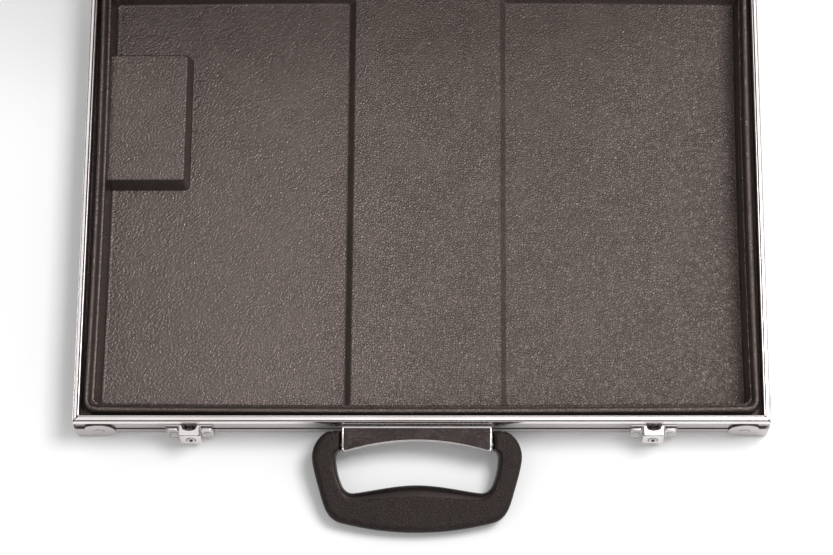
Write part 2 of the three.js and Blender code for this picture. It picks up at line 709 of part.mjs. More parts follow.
// The key plug about its own axis along Y, its face at y = 0
function keyPlug() {
  const back = FLAP_T + RUN_CLEAR + PLUG_PROUD;
  const body = turnedY([
    [0, 0],
    [PLUG_R - 0.3, 0],
    [PLUG_R, 0.3],
    [PLUG_R, back],
    [PLUG_COLLAR_R, back],
    [PLUG_COLLAR_R, back + PLUG_COLLAR_T],
    [0, back + PLUG_COLLAR_T],
  ], 0, 0);
  return cut(body, box(-KEYWAY_W / 2, KEYWAY_W / 2, -1, KEYWAY_DEEP, -KEYWAY_H / 2, KEYWAY_H / 2));
}

function addLatch(parent, side, x) {
  const group = new THREE.Group();
  group.position.set(x, -CASE_D / 2, 0);
  parent.add(group);
  const name = `latch_${side}`;
  piece(`${name}_housing`, latchHousing(), 'chrome', group);
  const rivets = [-1, 1].map((s) => [s * LATCH_RIVET_X, LATCH_RIVET_Z]);
  const backing = rivetedBacking(LATCH_W / 2, BRACE_Z0, BRACE_Z1, rivets, -WING_OUT);
  piece(`${name}_backing`, backing, 'steel', group);
  const pinHalf = BODY_W / 2 - 0.3;
  const pin = barX(PIVOT_PIN_R, -pinHalf, pinHalf, -PIVOT_OUT, PIVOT_Z, RIVET_SIDES);
  piece(`${name}_lever_pin`, pin, 'steel', group);
  const swing = new THREE.Group();
  swing.position.set(0, -PIVOT_OUT, PIVOT_Z);
  swing.rotation.x = -LEVER_OPEN;
  group.add(swing);
  piece(`${name}_lever`, latchLever(), 'chrome', swing);
  const flap = new THREE.Group();
  flap.rotation.x = FLAP_LEAN_SHUT;
  swing.add(flap);
  const plug = piece(`${name}_key_plug`, keyPlug(), 'nickel', flap);
  plug.position.set(0, -FLAP_FACE - PLUG_PROUD, -FLAP_TOP - FLAP_H / 2);
}

// The lid's catch, drawn with the lid shut: a riveted plate and a tongue with a window for the hook
function addCatch(parent, side, x) {
  const group = new THREE.Group();
  group.position.set(x, -CASE_D / 2, 0);
  parent.add(group);
  const plateZ = PARTING_Z + CATCH_Z0;
  const plate = box(-CATCH_W / 2, CATCH_W / 2, -CLEAR - PLATE_T, -CLEAR, plateZ, plateZ + CATCH_H);
  const out = -TONGUE_OUT - TONGUE_T;
  const jog = box(-TONGUE_W / 2, TONGUE_W / 2, out, -CLEAR, plateZ, plateZ + CATCH_JOG_H);
  const tongue = box(-TONGUE_W / 2, TONGUE_W / 2, out, -TONGUE_OUT, TONGUE_TIP_Z, plateZ + CATCH_JOG_H);
  const hookZ = PIVOT_Z + NOSE_TOP;
  const play = 0.6;
  const window = box(
    -TONGUE_WINDOW_W / 2, TONGUE_WINDOW_W / 2, out - 1, -TONGUE_OUT + CLEAR,
    hookZ - HOOK_H - play, hookZ + play,
  );
  const rivets = [-1, 1].map((s) => [s * CATCH_RIVET_X, plateZ + CATCH_RIVET_UP]);
  const holes = rivets.map(([rx, rz]) => rivetHole(rx, rz, -4, 3));
  piece(`catch_${side}`, cut(join(plate, jog, tongue), window, ...holes), 'chrome', group);
  const z = plateZ + CATCH_RIVET_UP;
  const backing = rivetedBacking(CATCH_W / 2 + 2, z - 5, z + 5, rivets, -CLEAR - PLATE_T);
  piece(`catch_${side}_backing`, backing, 'steel', group);
}

// The bracket's outline, inset by a wall: straight at the back, an arch at the front
function bracketOutline(inset, back) {
  const half = BRACKET_W / 2 - inset;
  const ends = -BRACKET_OUT + inset;
  const middle = -BRACKET_MID_OUT + inset;
  const arch = new THREE.QuadraticBezierCurve(
    new THREE.Vector2(half, ends),
    new THREE.Vector2(0, 2 * middle - ends),
    new THREE.Vector2(-half, ends),
  );
  const front = arch.getPoints(12).map(({ x, y }) => [x, y]);
  return [[-half, back], [half, back], ...front];
}

function addBracket(parent) {
  const z0 = BRACKET_TOP - BRACKET_H;
  const outer = slab(bracketOutline(0, SEAT), z0, BRACKET_TOP);
  const inner = slab(bracketOutline(BRACKET_WALL, SEAT - BRACKET_WALL), z0 - 1, BRACKET_TOP - BRACKET_WALL);
  const half = BRACKET_W / 2;
  const pinHole = barX(HANDLE_PIN_R + 0.15, -half - 1, half + 1, -HANDLE_PIVOT_OUT, HANDLE_PIVOT_Z);
  const rivets = [-1, 1].map((s) => [s * BRACKET_RIVET_X, BRACKET_RIVET_Z]);
  const holes = rivets.map(([x, z]) => rivetHole(x, z, -3, 3));
  piece('handle_bracket', cut(outer, inner, pinHole, ...holes), 'chrome', parent);
  const [low, high] = [BRACKET_RIVET_Z - STRIP_H / 2, BRACKET_RIVET_Z + STRIP_H / 2];
  const backing = rivetedBacking(half - 4, low, high, rivets, SEAT - BRACKET_WALL);
  piece('handle_backing', backing, 'steel', parent);
  [['left', -1], ['right', 1]].forEach(([side, s]) => {
    const inside = half - BRACKET_WALL - CLEAR;
    const spans = [[inside - 2.6, inside], [inside - 2, half + HANDLE_PIN_IN_ARM]];
    const radii = [HANDLE_PIN_HEAD_R, HANDLE_PIN_R];
    const bars = spans.map(([a, b], i) => {
      const [x0, x1] = s > 0 ? [a, b] : [-b, -a];
      return barX(radii[i], x0, x1, -HANDLE_PIVOT_OUT, HANDLE_PIVOT_Z);
    });
    piece(`handle_pin_${side}`, join(...bars), 'steel', parent);
  });
}

// Half of the handle's outline, from the root along the outside to the middle, then the inside back
function handleOutline() {
  const arm = BRACKET_W / 2 + CLEAR + RUN_CLEAR;
  const v = (x, y) => new THREE.Vector2(x, -y);
  const bend = (a, b, c, d) => new THREE.CubicBezierCurve(a, b, c, d).getPoints(5).slice(1);
  const shoulder = v(HANDLE_HALF_W, 8);
  const elbow = v(HANDLE_HALF_W - 6.3, 35);
  const heel = v(HANDLE_HALF_W - 20.3, HANDLE_REACH - 5.8);
  const outside = [
    v(arm, -HANDLE_ROOT),
    v(arm + 6, -HANDLE_ROOT),
    ...bend(v(arm + 6, -HANDLE_ROOT), v(arm + 12, -HANDLE_ROOT), v(HANDLE_HALF_W, -1), shoulder),
    ...bend(shoulder, v(HANDLE_HALF_W, 14), v(HANDLE_HALF_W - 3.8, 26), elbow),
    ...bend(elbow, v(HANDLE_HALF_W - 9, 44), v(HANDLE_HALF_W - 12, HANDLE_REACH - 7.4), heel),
    ...bend(heel, v(32, HANDLE_REACH - 2), v(16, HANDLE_REACH), v(0, HANDLE_REACH)),
  ];
  const notch = v(arm, 3.6);
  const inArm = v(ARM_INNER, 8.5);
  const inElbow = v(ARM_INNER - 3.5, 25.3);
  const inCorner = v(ARM_INNER - 11.3, GRIP_INNER + 5.1);
  const inside = [
    notch,
    ...bend(notch, v(arm + 2.2, 4.4), v(ARM_INNER, 6), inArm),
    ...bend(inArm, v(ARM_INNER, 14), v(ARM_INNER - 1.3, 20), inElbow),
    ...bend(inElbow, v(ARM_INNER - 5, 29.3), v(ARM_INNER - 7.8, GRIP_INNER + 5.3), inCorner),
    ...bend(inCorner, v(30, GRIP_INNER + 3.9), v(15, GRIP_INNER), v(0, GRIP_INNER)),
  ];
  const mirror = (points) => points.slice(0, -1).reverse().map(({ x, y }) => new THREE.Vector2(-x, y));
  return [...outside, ...mirror(outside), ...inside.map(({ x, y }) => new THREE.Vector2(-x, y)),
    ...inside.slice(0, -1).reverse()];
}

// The angle at which the grip's lower edge just meets the surface the case lies on
function handleDroop() {
  const edge = HANDLE_REACH - HANDLE_BEVEL;
  const half = HANDLE_T / 2 - HANDLE_BEVEL;
  const drop = HANDLE_PIVOT_Z - FLOOR_CLEAR - HANDLE_BEVEL;
  return Math.asin(drop / Math.hypot(edge, half)) - Math.atan2(half, edge);
}

function addHandle(parent) {
  const shape = new THREE.Shape(handleOutline());
  const geometry = new THREE.ExtrudeGeometry(shape, {
    depth: HANDLE_T - 2 * HANDLE_BEVEL,
    bevelEnabled: true,
    bevelThickness: HANDLE_BEVEL,
    bevelSize: HANDLE_BEVEL,
    bevelOffset: -HANDLE_BEVEL,
    bevelSegments: 2,
  });
  geometry.translate(0, 0, -HANDLE_T / 2 + HANDLE_BEVEL);
  const holes = [-1, 1].map((s) => {
    const end = s * (BRACKET_W / 2 + HANDLE_PIN_IN_ARM + CLEAR);
    const start = s * (BRACKET_W / 2 - 1);
    return barX(HANDLE_PIN_R + RUN_CLEAR, Math.min(start, end), Math.max(start, end), 0, 0);
  });
  const swing = new THREE.Group();
  swing.position.set(0, -HANDLE_PIVOT_OUT, HANDLE_PIVOT_Z);
  swing.rotation.x = handleDroop();
  parent.add(swing);
  piece('handle_grip', cut(solidOf(geometry), ...holes), 'grip', swing);
}

// One hinge leaf for a plate below the axis; the lid's leaf is the same thing turned over
function hingeLeaf(isLid) {
  const inner = LID_KNUCKLE_W / 2;
  const outer = HINGE_W / 2;
  const spans = isLid ? [[-inner, inner]] : [[-outer, -inner - KNUCKLE_GAP], [inner + KNUCKLE_GAP, outer]];
  const face = HINGE_AXIS_OUT - CLEAR;
  const plateTop = -KNUCKLE_R - KNUCKLE_GAP;
  const plate = box(-outer, outer, -face, -face + LEAF_T, -LEAF_H, plateTop);
  const knuckles = spans.map(([x0, x1]) => join(
    barX(KNUCKLE_R, x0, x1, 0, 0),
    box(x0, x1, -face, -face + LEAF_T, plateTop - 1, -RIM_GAP),
  ));
  const bore = barX(HINGE_PIN_R + RUN_CLEAR, -outer - 1, outer + 1, 0, 0);
  const rivets = [-1, 1].map((s) => rivetHole(s * LEAF_RIVET_X, -LEAF_RIVET_DOWN, -5, 5));
  return cut(join(plate, ...knuckles), bore, ...rivets);
}

function addHinges(base, lidShut) {
  [['left', -HINGE_X], ['right', HINGE_X]].forEach(([side, x]) => {
    const baseLeaf = piece(`hinge_${side}_base_leaf`, hingeLeaf(false), 'nickel', base);
    baseLeaf.position.set(x, HINGE_Y, PARTING_Z);
    const lidLeaf = piece(`hinge_${side}_lid_leaf`, upsideDown(hingeLeaf(true)), 'nickel', lidShut);
    lidLeaf.position.set(x, HINGE_Y, PARTING_Z);
    const half = HINGE_W / 2 - CLEAR;
    const pinBar = barX(HINGE_PIN_R, -half, half, 0, 0, RIVET_SIDES);
    piece(`hinge_${side}_pin`, pinBar, 'steel', base).position.set(x, HINGE_Y, PARTING_Z);
  });
}

// The leaf turned end for end about Y, so that its plate stands above the axis
function upsideDown(solid) {
  return solidOf(geometryOf(solid).rotateY(Math.PI));
}

// Strip behind the hinge leaves with their four rivets, in the back rail's own frame
function addHingeStrip(parent, name) {
  const z = PARTING_Z - LEAF_RIVET_DOWN;
  const rivets = [-HINGE_X, HINGE_X].flatMap((x) => [[x - LEAF_RIVET_X, z], [x + LEAF_RIVET_X, z]]);
  const [low, high] = [z - STRIP_H / 2, z + STRIP_H / 2];
  const strip = rivetedBacking(HINGE_X + STRIP_END, low, high, rivets, -CLEAR - LEAF_T);
  place(piece(name, strip, 'steel', parent), sides[2]);
}

function foot() {
  const barb = BACKING_IN + FOOT_BARB_T;
  return turnedY([
    [0, -FOOT_OUT],
    [FOOT_TIP_R - 1, -FOOT_OUT],
    [FOOT_TIP_R, -FOOT_OUT + 1],
    [FOOT_R, SEAT],
    [FOOT_STEM_R, SEAT],
    [FOOT_STEM_R, BACKING_IN],
    [FOOT_BARB_R, BACKING_IN],
    [FOOT_STEM_R, barb],
    [0, barb],
  ], 0, 0);
}

function addFeet(parent, prefix, names) {
  [['right', -FOOT_X], ['left', FOOT_X]].forEach(([side, x]) => {
    const mesh = piece(`${prefix}_foot_${names(side)}`, foot(), 'rubber', parent);
    mesh.rotation.z = Math.PI;
    mesh.position.set(-x, CASE_D / 2, FOOT_Z);
  });
}

// Holes that the hinges and the feet need in a back rail, in the rail's own frame
function backHoles() {
  const rivets = [-HINGE_X, HINGE_X].flatMap((x) => [x - LEAF_RIVET_X, x + LEAF_RIVET_X])
    .map((x) => [x, PARTING_Z - LEAF_RIVET_DOWN, RIVET_R + RIVET_CLEAR]);
  const feet = [-FOOT_X, FOOT_X].map((x) => [x, FOOT_Z, FOOT_STEM_R + RIVET_CLEAR]);
  return rivets.concat(feet);
}

function buildBase(root) {
  const rivetBore = RIVET_R + RIVET_CLEAR;
  const latchHoles = [-LATCH_X, LATCH_X].flatMap((x) => [x - LATCH_RIVET_X, x + LATCH_RIVET_X])
    .map((x) => [x, LATCH_RIVET_Z, rivetBore]);
  const bracketHoles = [-1, 1].map((s) => [HANDLE_X + s * BRACKET_RIVET_X, BRACKET_RIVET_Z, rivetBore]);
  const same = (name) => name;
  addRails(root, 'base', same, false, { front: latchHoles.concat(bracketHoles), back: backHoles() });
  addCorners(root, 'base', same);
  addPanel(root, 'base_panel');
  addBaseTray(root);
  addHingeStrip(root, 'base_hinge_strip');
  addFeet(root, 'base', same);
  addLatch(root, 'left', -LATCH_X);
  addLatch(root, 'right', LATCH_X);
  const handle = new THREE.Group();
  handle.position.set(HANDLE_X, -CASE_D / 2, 0);
  root.add(handle);
  addBracket(handle);
  addHandle(handle);
}

// The lid is a second half turned over about Y, so its own left side comes to lie on the right
function buildLid(lidShut) {
  const swap = { left: 'right', right: 'left' };
  const names = (name) => name.replace(/left|right/, (word) => swap[word]);
  const half = new THREE.Group();
  half.rotation.y = Math.PI;
  half.position.z = 2 * PARTING_Z;
  lidShut.add(half);
  const catchZ = PARTING_Z - CATCH_Z0 - CATCH_RIVET_UP;
  const catchHoles = [-LATCH_X, LATCH_X].flatMap((x) => [x - CATCH_RIVET_X, x + CATCH_RIVET_X])
    .map((x) => [x, catchZ, RIVET_R + RIVET_CLEAR]);
  addRails(half, 'lid', names, true, { front: catchHoles, back: backHoles() });
  addCorners(half, 'lid', names);
  addPanel(half, 'lid_panel');
  addLidTray(half);
  addHingeStrip(half, 'lid_hinge_strip');
  addFeet(half, 'lid', names);
  addCatch(lidShut, 'left', -LATCH_X);
  addCatch(lidShut, 'right', LATCH_X);
}

const knifeCase = new THREE.Group();
const lidPivot = new THREE.Group();
lidPivot.position.set(0, HINGE_Y, PARTING_Z);
lidPivot.rotation.x = -LID_OPEN;
const lidShut = new THREE.Group();
lidShut.position.set(0, -HINGE_Y, -PARTING_Z);
lidPivot.add(lidShut);
knifeCase.add(lidPivot);

buildBase(knifeCase);
buildLid(lidShut);
addHinges(knifeCase, lidShut);

export default knifeCase;
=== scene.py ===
import math

import bmesh
import bpy
import numpy as np
from mathutils import Matrix, Vector
from mathutils.geometry import delaunay_2d_cdt


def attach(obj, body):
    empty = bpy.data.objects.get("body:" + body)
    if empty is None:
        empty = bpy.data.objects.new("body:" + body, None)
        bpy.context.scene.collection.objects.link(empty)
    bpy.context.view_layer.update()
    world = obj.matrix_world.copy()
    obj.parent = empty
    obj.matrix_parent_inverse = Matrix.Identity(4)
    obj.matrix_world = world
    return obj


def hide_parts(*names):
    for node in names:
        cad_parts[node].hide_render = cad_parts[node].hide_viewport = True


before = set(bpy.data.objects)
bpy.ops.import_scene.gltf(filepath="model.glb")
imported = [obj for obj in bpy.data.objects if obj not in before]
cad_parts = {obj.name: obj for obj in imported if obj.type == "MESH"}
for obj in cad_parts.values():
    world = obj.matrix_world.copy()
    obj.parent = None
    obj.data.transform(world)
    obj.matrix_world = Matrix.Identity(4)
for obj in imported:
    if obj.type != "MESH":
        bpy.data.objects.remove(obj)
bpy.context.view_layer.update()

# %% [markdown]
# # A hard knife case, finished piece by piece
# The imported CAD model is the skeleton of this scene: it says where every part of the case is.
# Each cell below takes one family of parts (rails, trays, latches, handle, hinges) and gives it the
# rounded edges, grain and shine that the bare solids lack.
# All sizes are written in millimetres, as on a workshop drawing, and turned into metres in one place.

MM = 0.001

# %% [markdown]
# ## The camera
# The case was photographed from above and a little in front, with a long lens: its sides hardly converge.
# The lens, the tilt and the small sideways shift were worked out from the straight edges of the case.
# A shift moves the picture on the sensor without turning the camera, so upright edges stay upright.

# %% Set up the camera
camera = bpy.data.objects.new("camera", bpy.data.cameras.new("camera"))
bpy.context.scene.collection.objects.link(camera)
camera.data.sensor_width = 36
camera.data.lens = 120.36
camera.data.shift_x = -0.0749
camera.data.clip_end = 50
camera.location = (0.037, -0.6133, 1.7683)
camera.rotation_euler = (math.radians(17.62), 0, 0)
bpy.context.scene.camera = camera
print("Camera stands", round(camera.location.length, 2), "m from the case")

# %% [markdown]
# ## Floor, world and lamp
# A product photograph on white: a big soft lamp high up to the right, so the shadow falls to the left.
# The camera, and every mirror-like reflection, should see pure white around the case. The Light Path node
# tells those rays from the light that bounces about, so the white costs no extra light on the case.
# White alone makes metal look like paper, though. So, as in a real studio, a band of dark cloth stands round
# the table, higher on the side away from the lamp: its reflection draws the dark lines beside the
# highlights. Only reflections can see it.

# %% Build the studio
scene = bpy.context.scene
scene.view_settings.view_transform = "Standard"
WHITE = (1, 1, 1, 1)


def seen_as_white(nodes, links, bounced):
    """White for the camera, reflections and glass; another grey for bounced light."""
    path = nodes.new("ShaderNodeLightPath").outputs
    seen = path["Is Camera Ray"]
    for kind in ("Is Glossy Ray", "Is Transmission Ray"):
        either = nodes.new("ShaderNodeMath")
        either.operation = "MAXIMUM"
        links.new(seen, either.inputs[0])
        links.new(path[kind], either.inputs[1])
        seen = either.outputs[0]
    mix = nodes.new("ShaderNodeMix")
    mix.data_type = "RGBA"
    links.new(seen, mix.inputs["Factor"])
    mix.inputs["A"].default_value = (bounced, bounced, bounced, 1)
    mix.inputs["B"].default_value = WHITE
    return mix.outputs["Result"]


AMBIENT, FLOOR_BOUNCE = 0.64, 0.6
world = bpy.data.worlds.new("studio")
scene.world = world
world.use_nodes = True
sky_nodes, sky_links = world.node_tree.nodes, world.node_tree.links
sky_links.new(seen_as_white(sky_nodes, sky_links, AMBIENT), sky_nodes["Background"].inputs["Color"])


def stage_piece(name, verts, faces, colour=(0.05, 0.042, 0.04, 1)):
    """A matt piece of the studio, in metres."""
    mesh = bpy.data.meshes.new(name)
    mesh.from_pydata(verts, [], faces)
    thing = bpy.data.objects.new(name, mesh)
    scene.collection.objects.link(thing)
    matt = bpy.data.materials.new(name)
    matt.use_nodes = True
    shader = matt.node_tree.nodes["Principled BSDF"]
    shader.inputs["Base Color"].default_value = colour
    shader.inputs["Roughness"].default_value = 1
    shader.inputs["Specular IOR Level"].default_value = 0
    mesh.materials.append(matt)
    return thing, matt.node_tree, shader


FLOOR_HALF = 6
_, paper, paper_shader = stage_piece(
    "floor", [(x * FLOOR_HALF, y * FLOOR_HALF, 0) for x, y in ((-1, -1), (1, -1), (1, 1), (-1, 1))],
    [(0, 1, 2, 3)])
paper.links.new(seen_as_white(paper.nodes, paper.links, FLOOR_BOUNCE), paper_shader.inputs["Base Color"])

CLOTH_R, CLOTH_H, CLOTH_TILT, CLOTH_SIDES = 1.0, 0.48, 0.34, 48
cloth_rim = [(CLOTH_R * math.cos(a), CLOTH_R * math.sin(a), CLOTH_H - CLOTH_TILT * math.cos(a))
             for a in [2 * math.pi * i / CLOTH_SIDES for i in range(CLOTH_SIDES)]]
cloth, _, _ = stage_piece(
    "dark_cloth", [(x, y, 0) for x, y, _ in cloth_rim] + cloth_rim,
    [(i, (i + 1) % CLOTH_SIDES, CLOTH_SIDES + (i + 1) % CLOTH_SIDES, CLOTH_SIDES + i)
     for i in range(CLOTH_SIDES)])
cloth.visible_camera = cloth.visible_diffuse = cloth.visible_shadow = False


def soft_lamp(name, towards, distance, size, watts):
    """A square lamp that looks at the case from the direction given."""
    lamp = bpy.data.objects.new(name, bpy.data.lights.new(name, "AREA"))
    lamp.data.shape = "SQUARE"
    lamp.data.size = size
    lamp.data.energy = watts
    lamp.location = Vector(towards).normalized() * distance
    lamp.rotation_euler = Vector(towards).to_track_quat("Z", "Y").to_euler()
    scene.collection.objects.link(lamp)


soft_lamp("key_lamp", (0.44, 0.12, 1.0), 2.4, 0.9, 33)
print("Studio ready")

# %% [markdown]
# ## Helpers for shapes
# Almost every part of the case is a drawn outline carried along a direction: an extruded rail, a pressed
# plate, a turned rivet. So the helpers are the ones a draughtsman would want: round off a corner, inset an
# outline, join a stack of outlines with skin (a loft), turn a profile round an axis, and carve solids.
# Each returns plain lists of points and faces, which are easy to move about before they become a mesh.

# %% Outlines
def arc(cx, cy, radius, start, end, steps):
    """Points on a circle from one angle to another, in degrees."""
    angles = [math.radians(start + (end - start) * i / steps) for i in range(steps + 1)]
    return [(cx + radius * math.cos(a), cy + radius * math.sin(a)) for a in angles]


def round_rect(x0, x1, y0, y1, radius, steps=6, spacing=None):
    """A rectangle with rounded corners, anticlockwise, with extra points on its sides if spacing is given."""
    corners = [(x1 - radius, y0 + radius, -90), (x1 - radius, y1 - radius, 0),
               (x0 + radius, y1 - radius, 90), (x0 + radius, y0 + radius, 180)]
    points = []
    for i, (cx, cy, start) in enumerate(corners):
        points += arc(cx, cy, radius, start, start + 90, steps)
        if spacing:
            nx, ny, turn = corners[(i + 1) % 4]
            target = arc(nx, ny, radius, turn, turn + 90, 1)[0]
            points += between(points[-1], target, spacing)
    return points


def between(start, end, spacing):
    """Evenly spaced points between two points, both left out."""
    count = max(1, round(math.dist(start, end) / spacing))
    return [(start[0] + (end[0] - start[0]) * i / count, start[1] + (end[1] - start[1]) * i / count)
            for i in range(1, count)]


def soften(corners, steps=3):
    """A polygon whose corners (x, y, radius) are rounded off."""
    points = []
    for i, (x, y, radius) in enumerate(corners):
        here = Vector((x, y))
        before = Vector(corners[i - 1][:2]) - here
        after = Vector(corners[(i + 1) % len(corners)][:2]) - here
        reach = min(radius, before.length * 0.49, after.length * 0.49)
        if reach <= 0:
            points.append((x, y))
            continue
        a, b = here + before.normalized() * reach, here + after.normalized() * reach
        for k in range(steps + 1):
            t = k / steps
            points.append(tuple(a * (1 - t) ** 2 + here * 2 * t * (1 - t) + b * t ** 2))
    return points


def inset(outline, distance):
    """The outline moved inwards by a small distance, square to its sides."""
    pts = np.array(outline, float)
    area = np.sum(pts[:, 0] * np.roll(pts[:, 1], -1) - np.roll(pts[:, 0], -1) * pts[:, 1])
    edge = np.roll(pts, -1, 0) - pts
    edge /= np.maximum(np.linalg.norm(edge, axis=1, keepdims=True), 1e-9)
    normal = np.stack([-edge[:, 1], edge[:, 0]], 1) * (1 if area > 0 else -1)
    both = normal + np.roll(normal, 1, 0)
    length = np.maximum(np.sum(both * both, 1, keepdims=True) / 2, 0.35)
    return [tuple(p) for p in pts + both * distance / length]


# %% Skins
# Edges that turn by more than this, in degrees, are rounded off
ROUND_FROM = 38


def loft(rings, caps=True):
    """Skin over rings of points, which all have the same count; the ends are closed."""
    count = len(rings[0])
    verts = [tuple(p) for ring in rings for p in ring]
    faces = []
    for r in range(len(rings) - 1):
        for i in range(count):
            j = (i + 1) % count
            faces.append((r * count + i, r * count + j, (r + 1) * count + j, (r + 1) * count + i))
    if caps:
        last = (len(rings) - 1) * count
        faces += [tuple(range(count))[::-1], tuple(range(last, last + count))]
    return verts, faces


def upright(outline, axis, at):
    """A flat outline as 3-D points in the plane at that place on the axis."""
    if axis == "X":
        return [(at, a, b) for a, b in outline]
    if axis == "Y":
        return [(a, at, b) for a, b in outline]
    return [(a, b, at) for a, b in outline]


def slab(outline, axis, start, end, edge=0.0):
    """An outline pulled along an axis, with rounded edges at both ends."""
    rings = [(edge, start), (0.3 * edge, start + 0.3 * edge), (0, start + edge),
             (0, end - edge), (0.3 * edge, end - 0.3 * edge), (edge, end)]
    if not edge:
        rings = [(0, start), (0, end)]
    return loft([upright(inset(outline, d) if d else outline, axis, at) for d, at in rings])


def turned(profile, axis, centre, sides=32):
    """A profile of (radius, place on the axis) turned round an axis through centre."""
    rings = []
    for radius, at in profile:
        circle = [(max(radius, 0.001) * math.cos(2 * math.pi * i / sides),
                   max(radius, 0.001) * math.sin(2 * math.pi * i / sides)) for i in range(sides)]
        rings.append([tuple(Vector(p) + Vector(centre)) for p in upright(circle, axis, at)])
    return loft(rings)


def gather(*parts):
    """Several closed skins as one list of points and faces."""
    verts, faces = [], []
    for v, f in parts:
        faces += [tuple(i + len(verts) for i in face) for face in f]
        verts += v
    return verts, faces


def carve(adds, cuts=(), edge=0.2, segments=2):
    """Joins solids, cuts others away and rounds the edges that are left."""
    blanks = []
    for verts, faces in [*adds, *cuts]:
        mesh = bpy.data.meshes.new("blank")
        mesh.from_pydata(verts, [], faces)
        outward(mesh)
        blank = bpy.data.objects.new("blank", mesh)
        scene.collection.objects.link(blank)
        blanks.append(blank)
    body = blanks[0]
    for i, other in enumerate(blanks[1:], 1):
        tool = body.modifiers.new("tool", "BOOLEAN")
        tool.solver = "EXACT"
        tool.object = other
        tool.operation = "UNION" if i < len(adds) else "DIFFERENCE"
    if edge:
        rounding = body.modifiers.new("rounding", "BEVEL")
        rounding.width = edge
        rounding.segments = segments
        rounding.limit_method = "ANGLE"
        rounding.angle_limit = math.radians(ROUND_FROM)
    done = bpy.data.meshes.new_from_object(body.evaluated_get(bpy.context.evaluated_depsgraph_get()))
    verts = [tuple(v.co) for v in done.vertices]
    faces = [tuple(p.vertices) for p in done.polygons]
    for blank in blanks:
        old = blank.data
        bpy.data.objects.remove(blank)
        bpy.data.meshes.remove(old)
    bpy.data.meshes.remove(done)
    return verts, faces


def outward(mesh):
    """Merges doubled points and turns every face outwards."""
    form = bmesh.new()
    form.from_mesh(mesh)
    bmesh.ops.remove_doubles(form, verts=form.verts, dist=1e-7)
    bmesh.ops.dissolve_degenerate(form, edges=form.edges, dist=1e-7)
    bmesh.ops.recalc_face_normals(form, faces=form.faces)
    form.to_mesh(mesh)
    form.free()


# %% [markdown]
# ## Where things go
# The base and the lid are the same half twice. The lid's copy is turned over and then swung open about the
# hinge line, so one chain of matrices carries any base part to its place in the lid.

# %% Places on the case
CASE_W, CASE_D, HALF_H = 450, 320, 34
PARTING_Z = HALF_H + 0.15
HINGE_Y = CASE_D / 2 + 3.2
PLATE_FACE, SEAT = -0.8, 0.4
HARDWARE_TOP = 27.2
HERE = Matrix.Identity(4)


def moved(x, y, z):
    return Matrix.Translation(Vector((x, y, z)) * MM)


def spun(degrees, axis):
    return Matrix.Rotation(math.radians(degrees), 4, axis)


LID_SHUT = moved(0, HINGE_Y, PARTING_Z) @ spun(-90, "X") @ moved(0, -HINGE_Y, -PARTING_Z)
LID_HALF = LID_SHUT @ moved(0, 0, 2 * PARTING_Z) @ spun(180, "Y")
FRONT = moved(0, -CASE_D / 2, 0)

SIDES = {
    "front": (CASE_W, FRONT),
    "right": (CASE_D, moved(CASE_W / 2, 0, 0) @ spun(90, "Z")),
    "back": (CASE_W, moved(0, CASE_D / 2, 0) @ spun(180, "Z")),
    "left": (CASE_D, moved(-CASE_W / 2, 0, 0) @ spun(-90, "Z")),
}
CORNERS = {
    "front_left": moved(-CASE_W / 2, -CASE_D / 2, 0),
    "front_right": moved(CASE_W / 2, -CASE_D / 2, 0) @ spun(90, "Z"),
    "back_right": moved(CASE_W / 2, CASE_D / 2, 0) @ spun(180, "Z"),
    "back_left": moved(-CASE_W / 2, CASE_D / 2, 0) @ spun(-90, "Z"),
}


def other_side(name):
    """The lid is turned over, so what is left on its own half lies on the right."""
    swap = {"left": "right", "right": "left"}
    return "_".join(swap.get(word, word) for word in name.split("_"))


HALVES = (("base", HERE, str), ("lid", LID_HALF, other_side))


def painted_shade_where(skin, where, amount=1.0):
    """The painted-shade mark of each point: dark where the test on x, y and z says so."""
    return {"dirt_and_painted_shade": [amount if where(*v) else 0.0 for v in skin[0]]}


def settle_normals(piece):
    """Keeps big flat faces flat, so that only the narrow rounded edges bend the light."""
    weighting = piece.modifiers.new("normals", "WEIGHTED_NORMAL")
    weighting.keep_sharp = True
    plain = piece.data
    seen = piece.evaluated_get(bpy.context.evaluated_depsgraph_get())
    settled = bpy.data.meshes.new_from_object(seen)
    piece.modifiers.clear()
    piece.data = settled
    bpy.data.meshes.remove(plain)
    settled.name = piece.name


# Edges that turn by more than this, in degrees, stay sharp in the shading
CREASE = 32


def make_piece(name, skin, finish, body, place=HERE, stands_for=(), marks=None):
    """Turns a skin in millimetres into a piece of the case, riding on its body."""
    verts, faces = skin
    mesh = bpy.data.meshes.new(name)
    mesh.from_pydata([tuple(c * MM for c in v) for v in verts], [], faces)
    along = mesh.attributes.new("own_place", "FLOAT_VECTOR", "POINT")
    along.data.foreach_set("vector", np.array([v.co for v in mesh.vertices], np.float32).ravel())
    for title, values in (marks or {}).items():
        mark = mesh.attributes.new(title, "FLOAT", "POINT")
        mark.data.foreach_set("value", np.array(values, np.float32))
    outward(mesh)
    mesh.transform(place)
    mesh.shade_smooth()
    mesh.set_sharp_from_angle(angle=math.radians(CREASE))
    piece = bpy.data.objects.new(name, mesh)
    scene.collection.objects.link(piece)
    settle_normals(piece)
    piece.data.materials.append(finish)
    # Blender numbers a finish, as in chrome_plate.001, where the CAD model has a material of that name
    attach(piece, body)
    if stands_for:
        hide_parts(*stands_for)


def fine(node_name, skin, finish, body, place=HERE, marks=None):
    """A piece that stands for one node of the CAD model and is named after it."""
    make_piece("fine_" + node_name, skin, finish, body, place, [node_name], marks)


# %% [markdown]
# ## Finishes
# Real surfaces are never one flat colour. Extruded aluminium has lines along its length, plating has soft
# clouds, moulded leatherette has pebbles with creases between them, and everything that is handled gets
# smudges. Each of these effects is a small node group, built once, that puts out a value. Every material
# places the groups it needs with its own sizes, and keeps its own Principled BSDF.

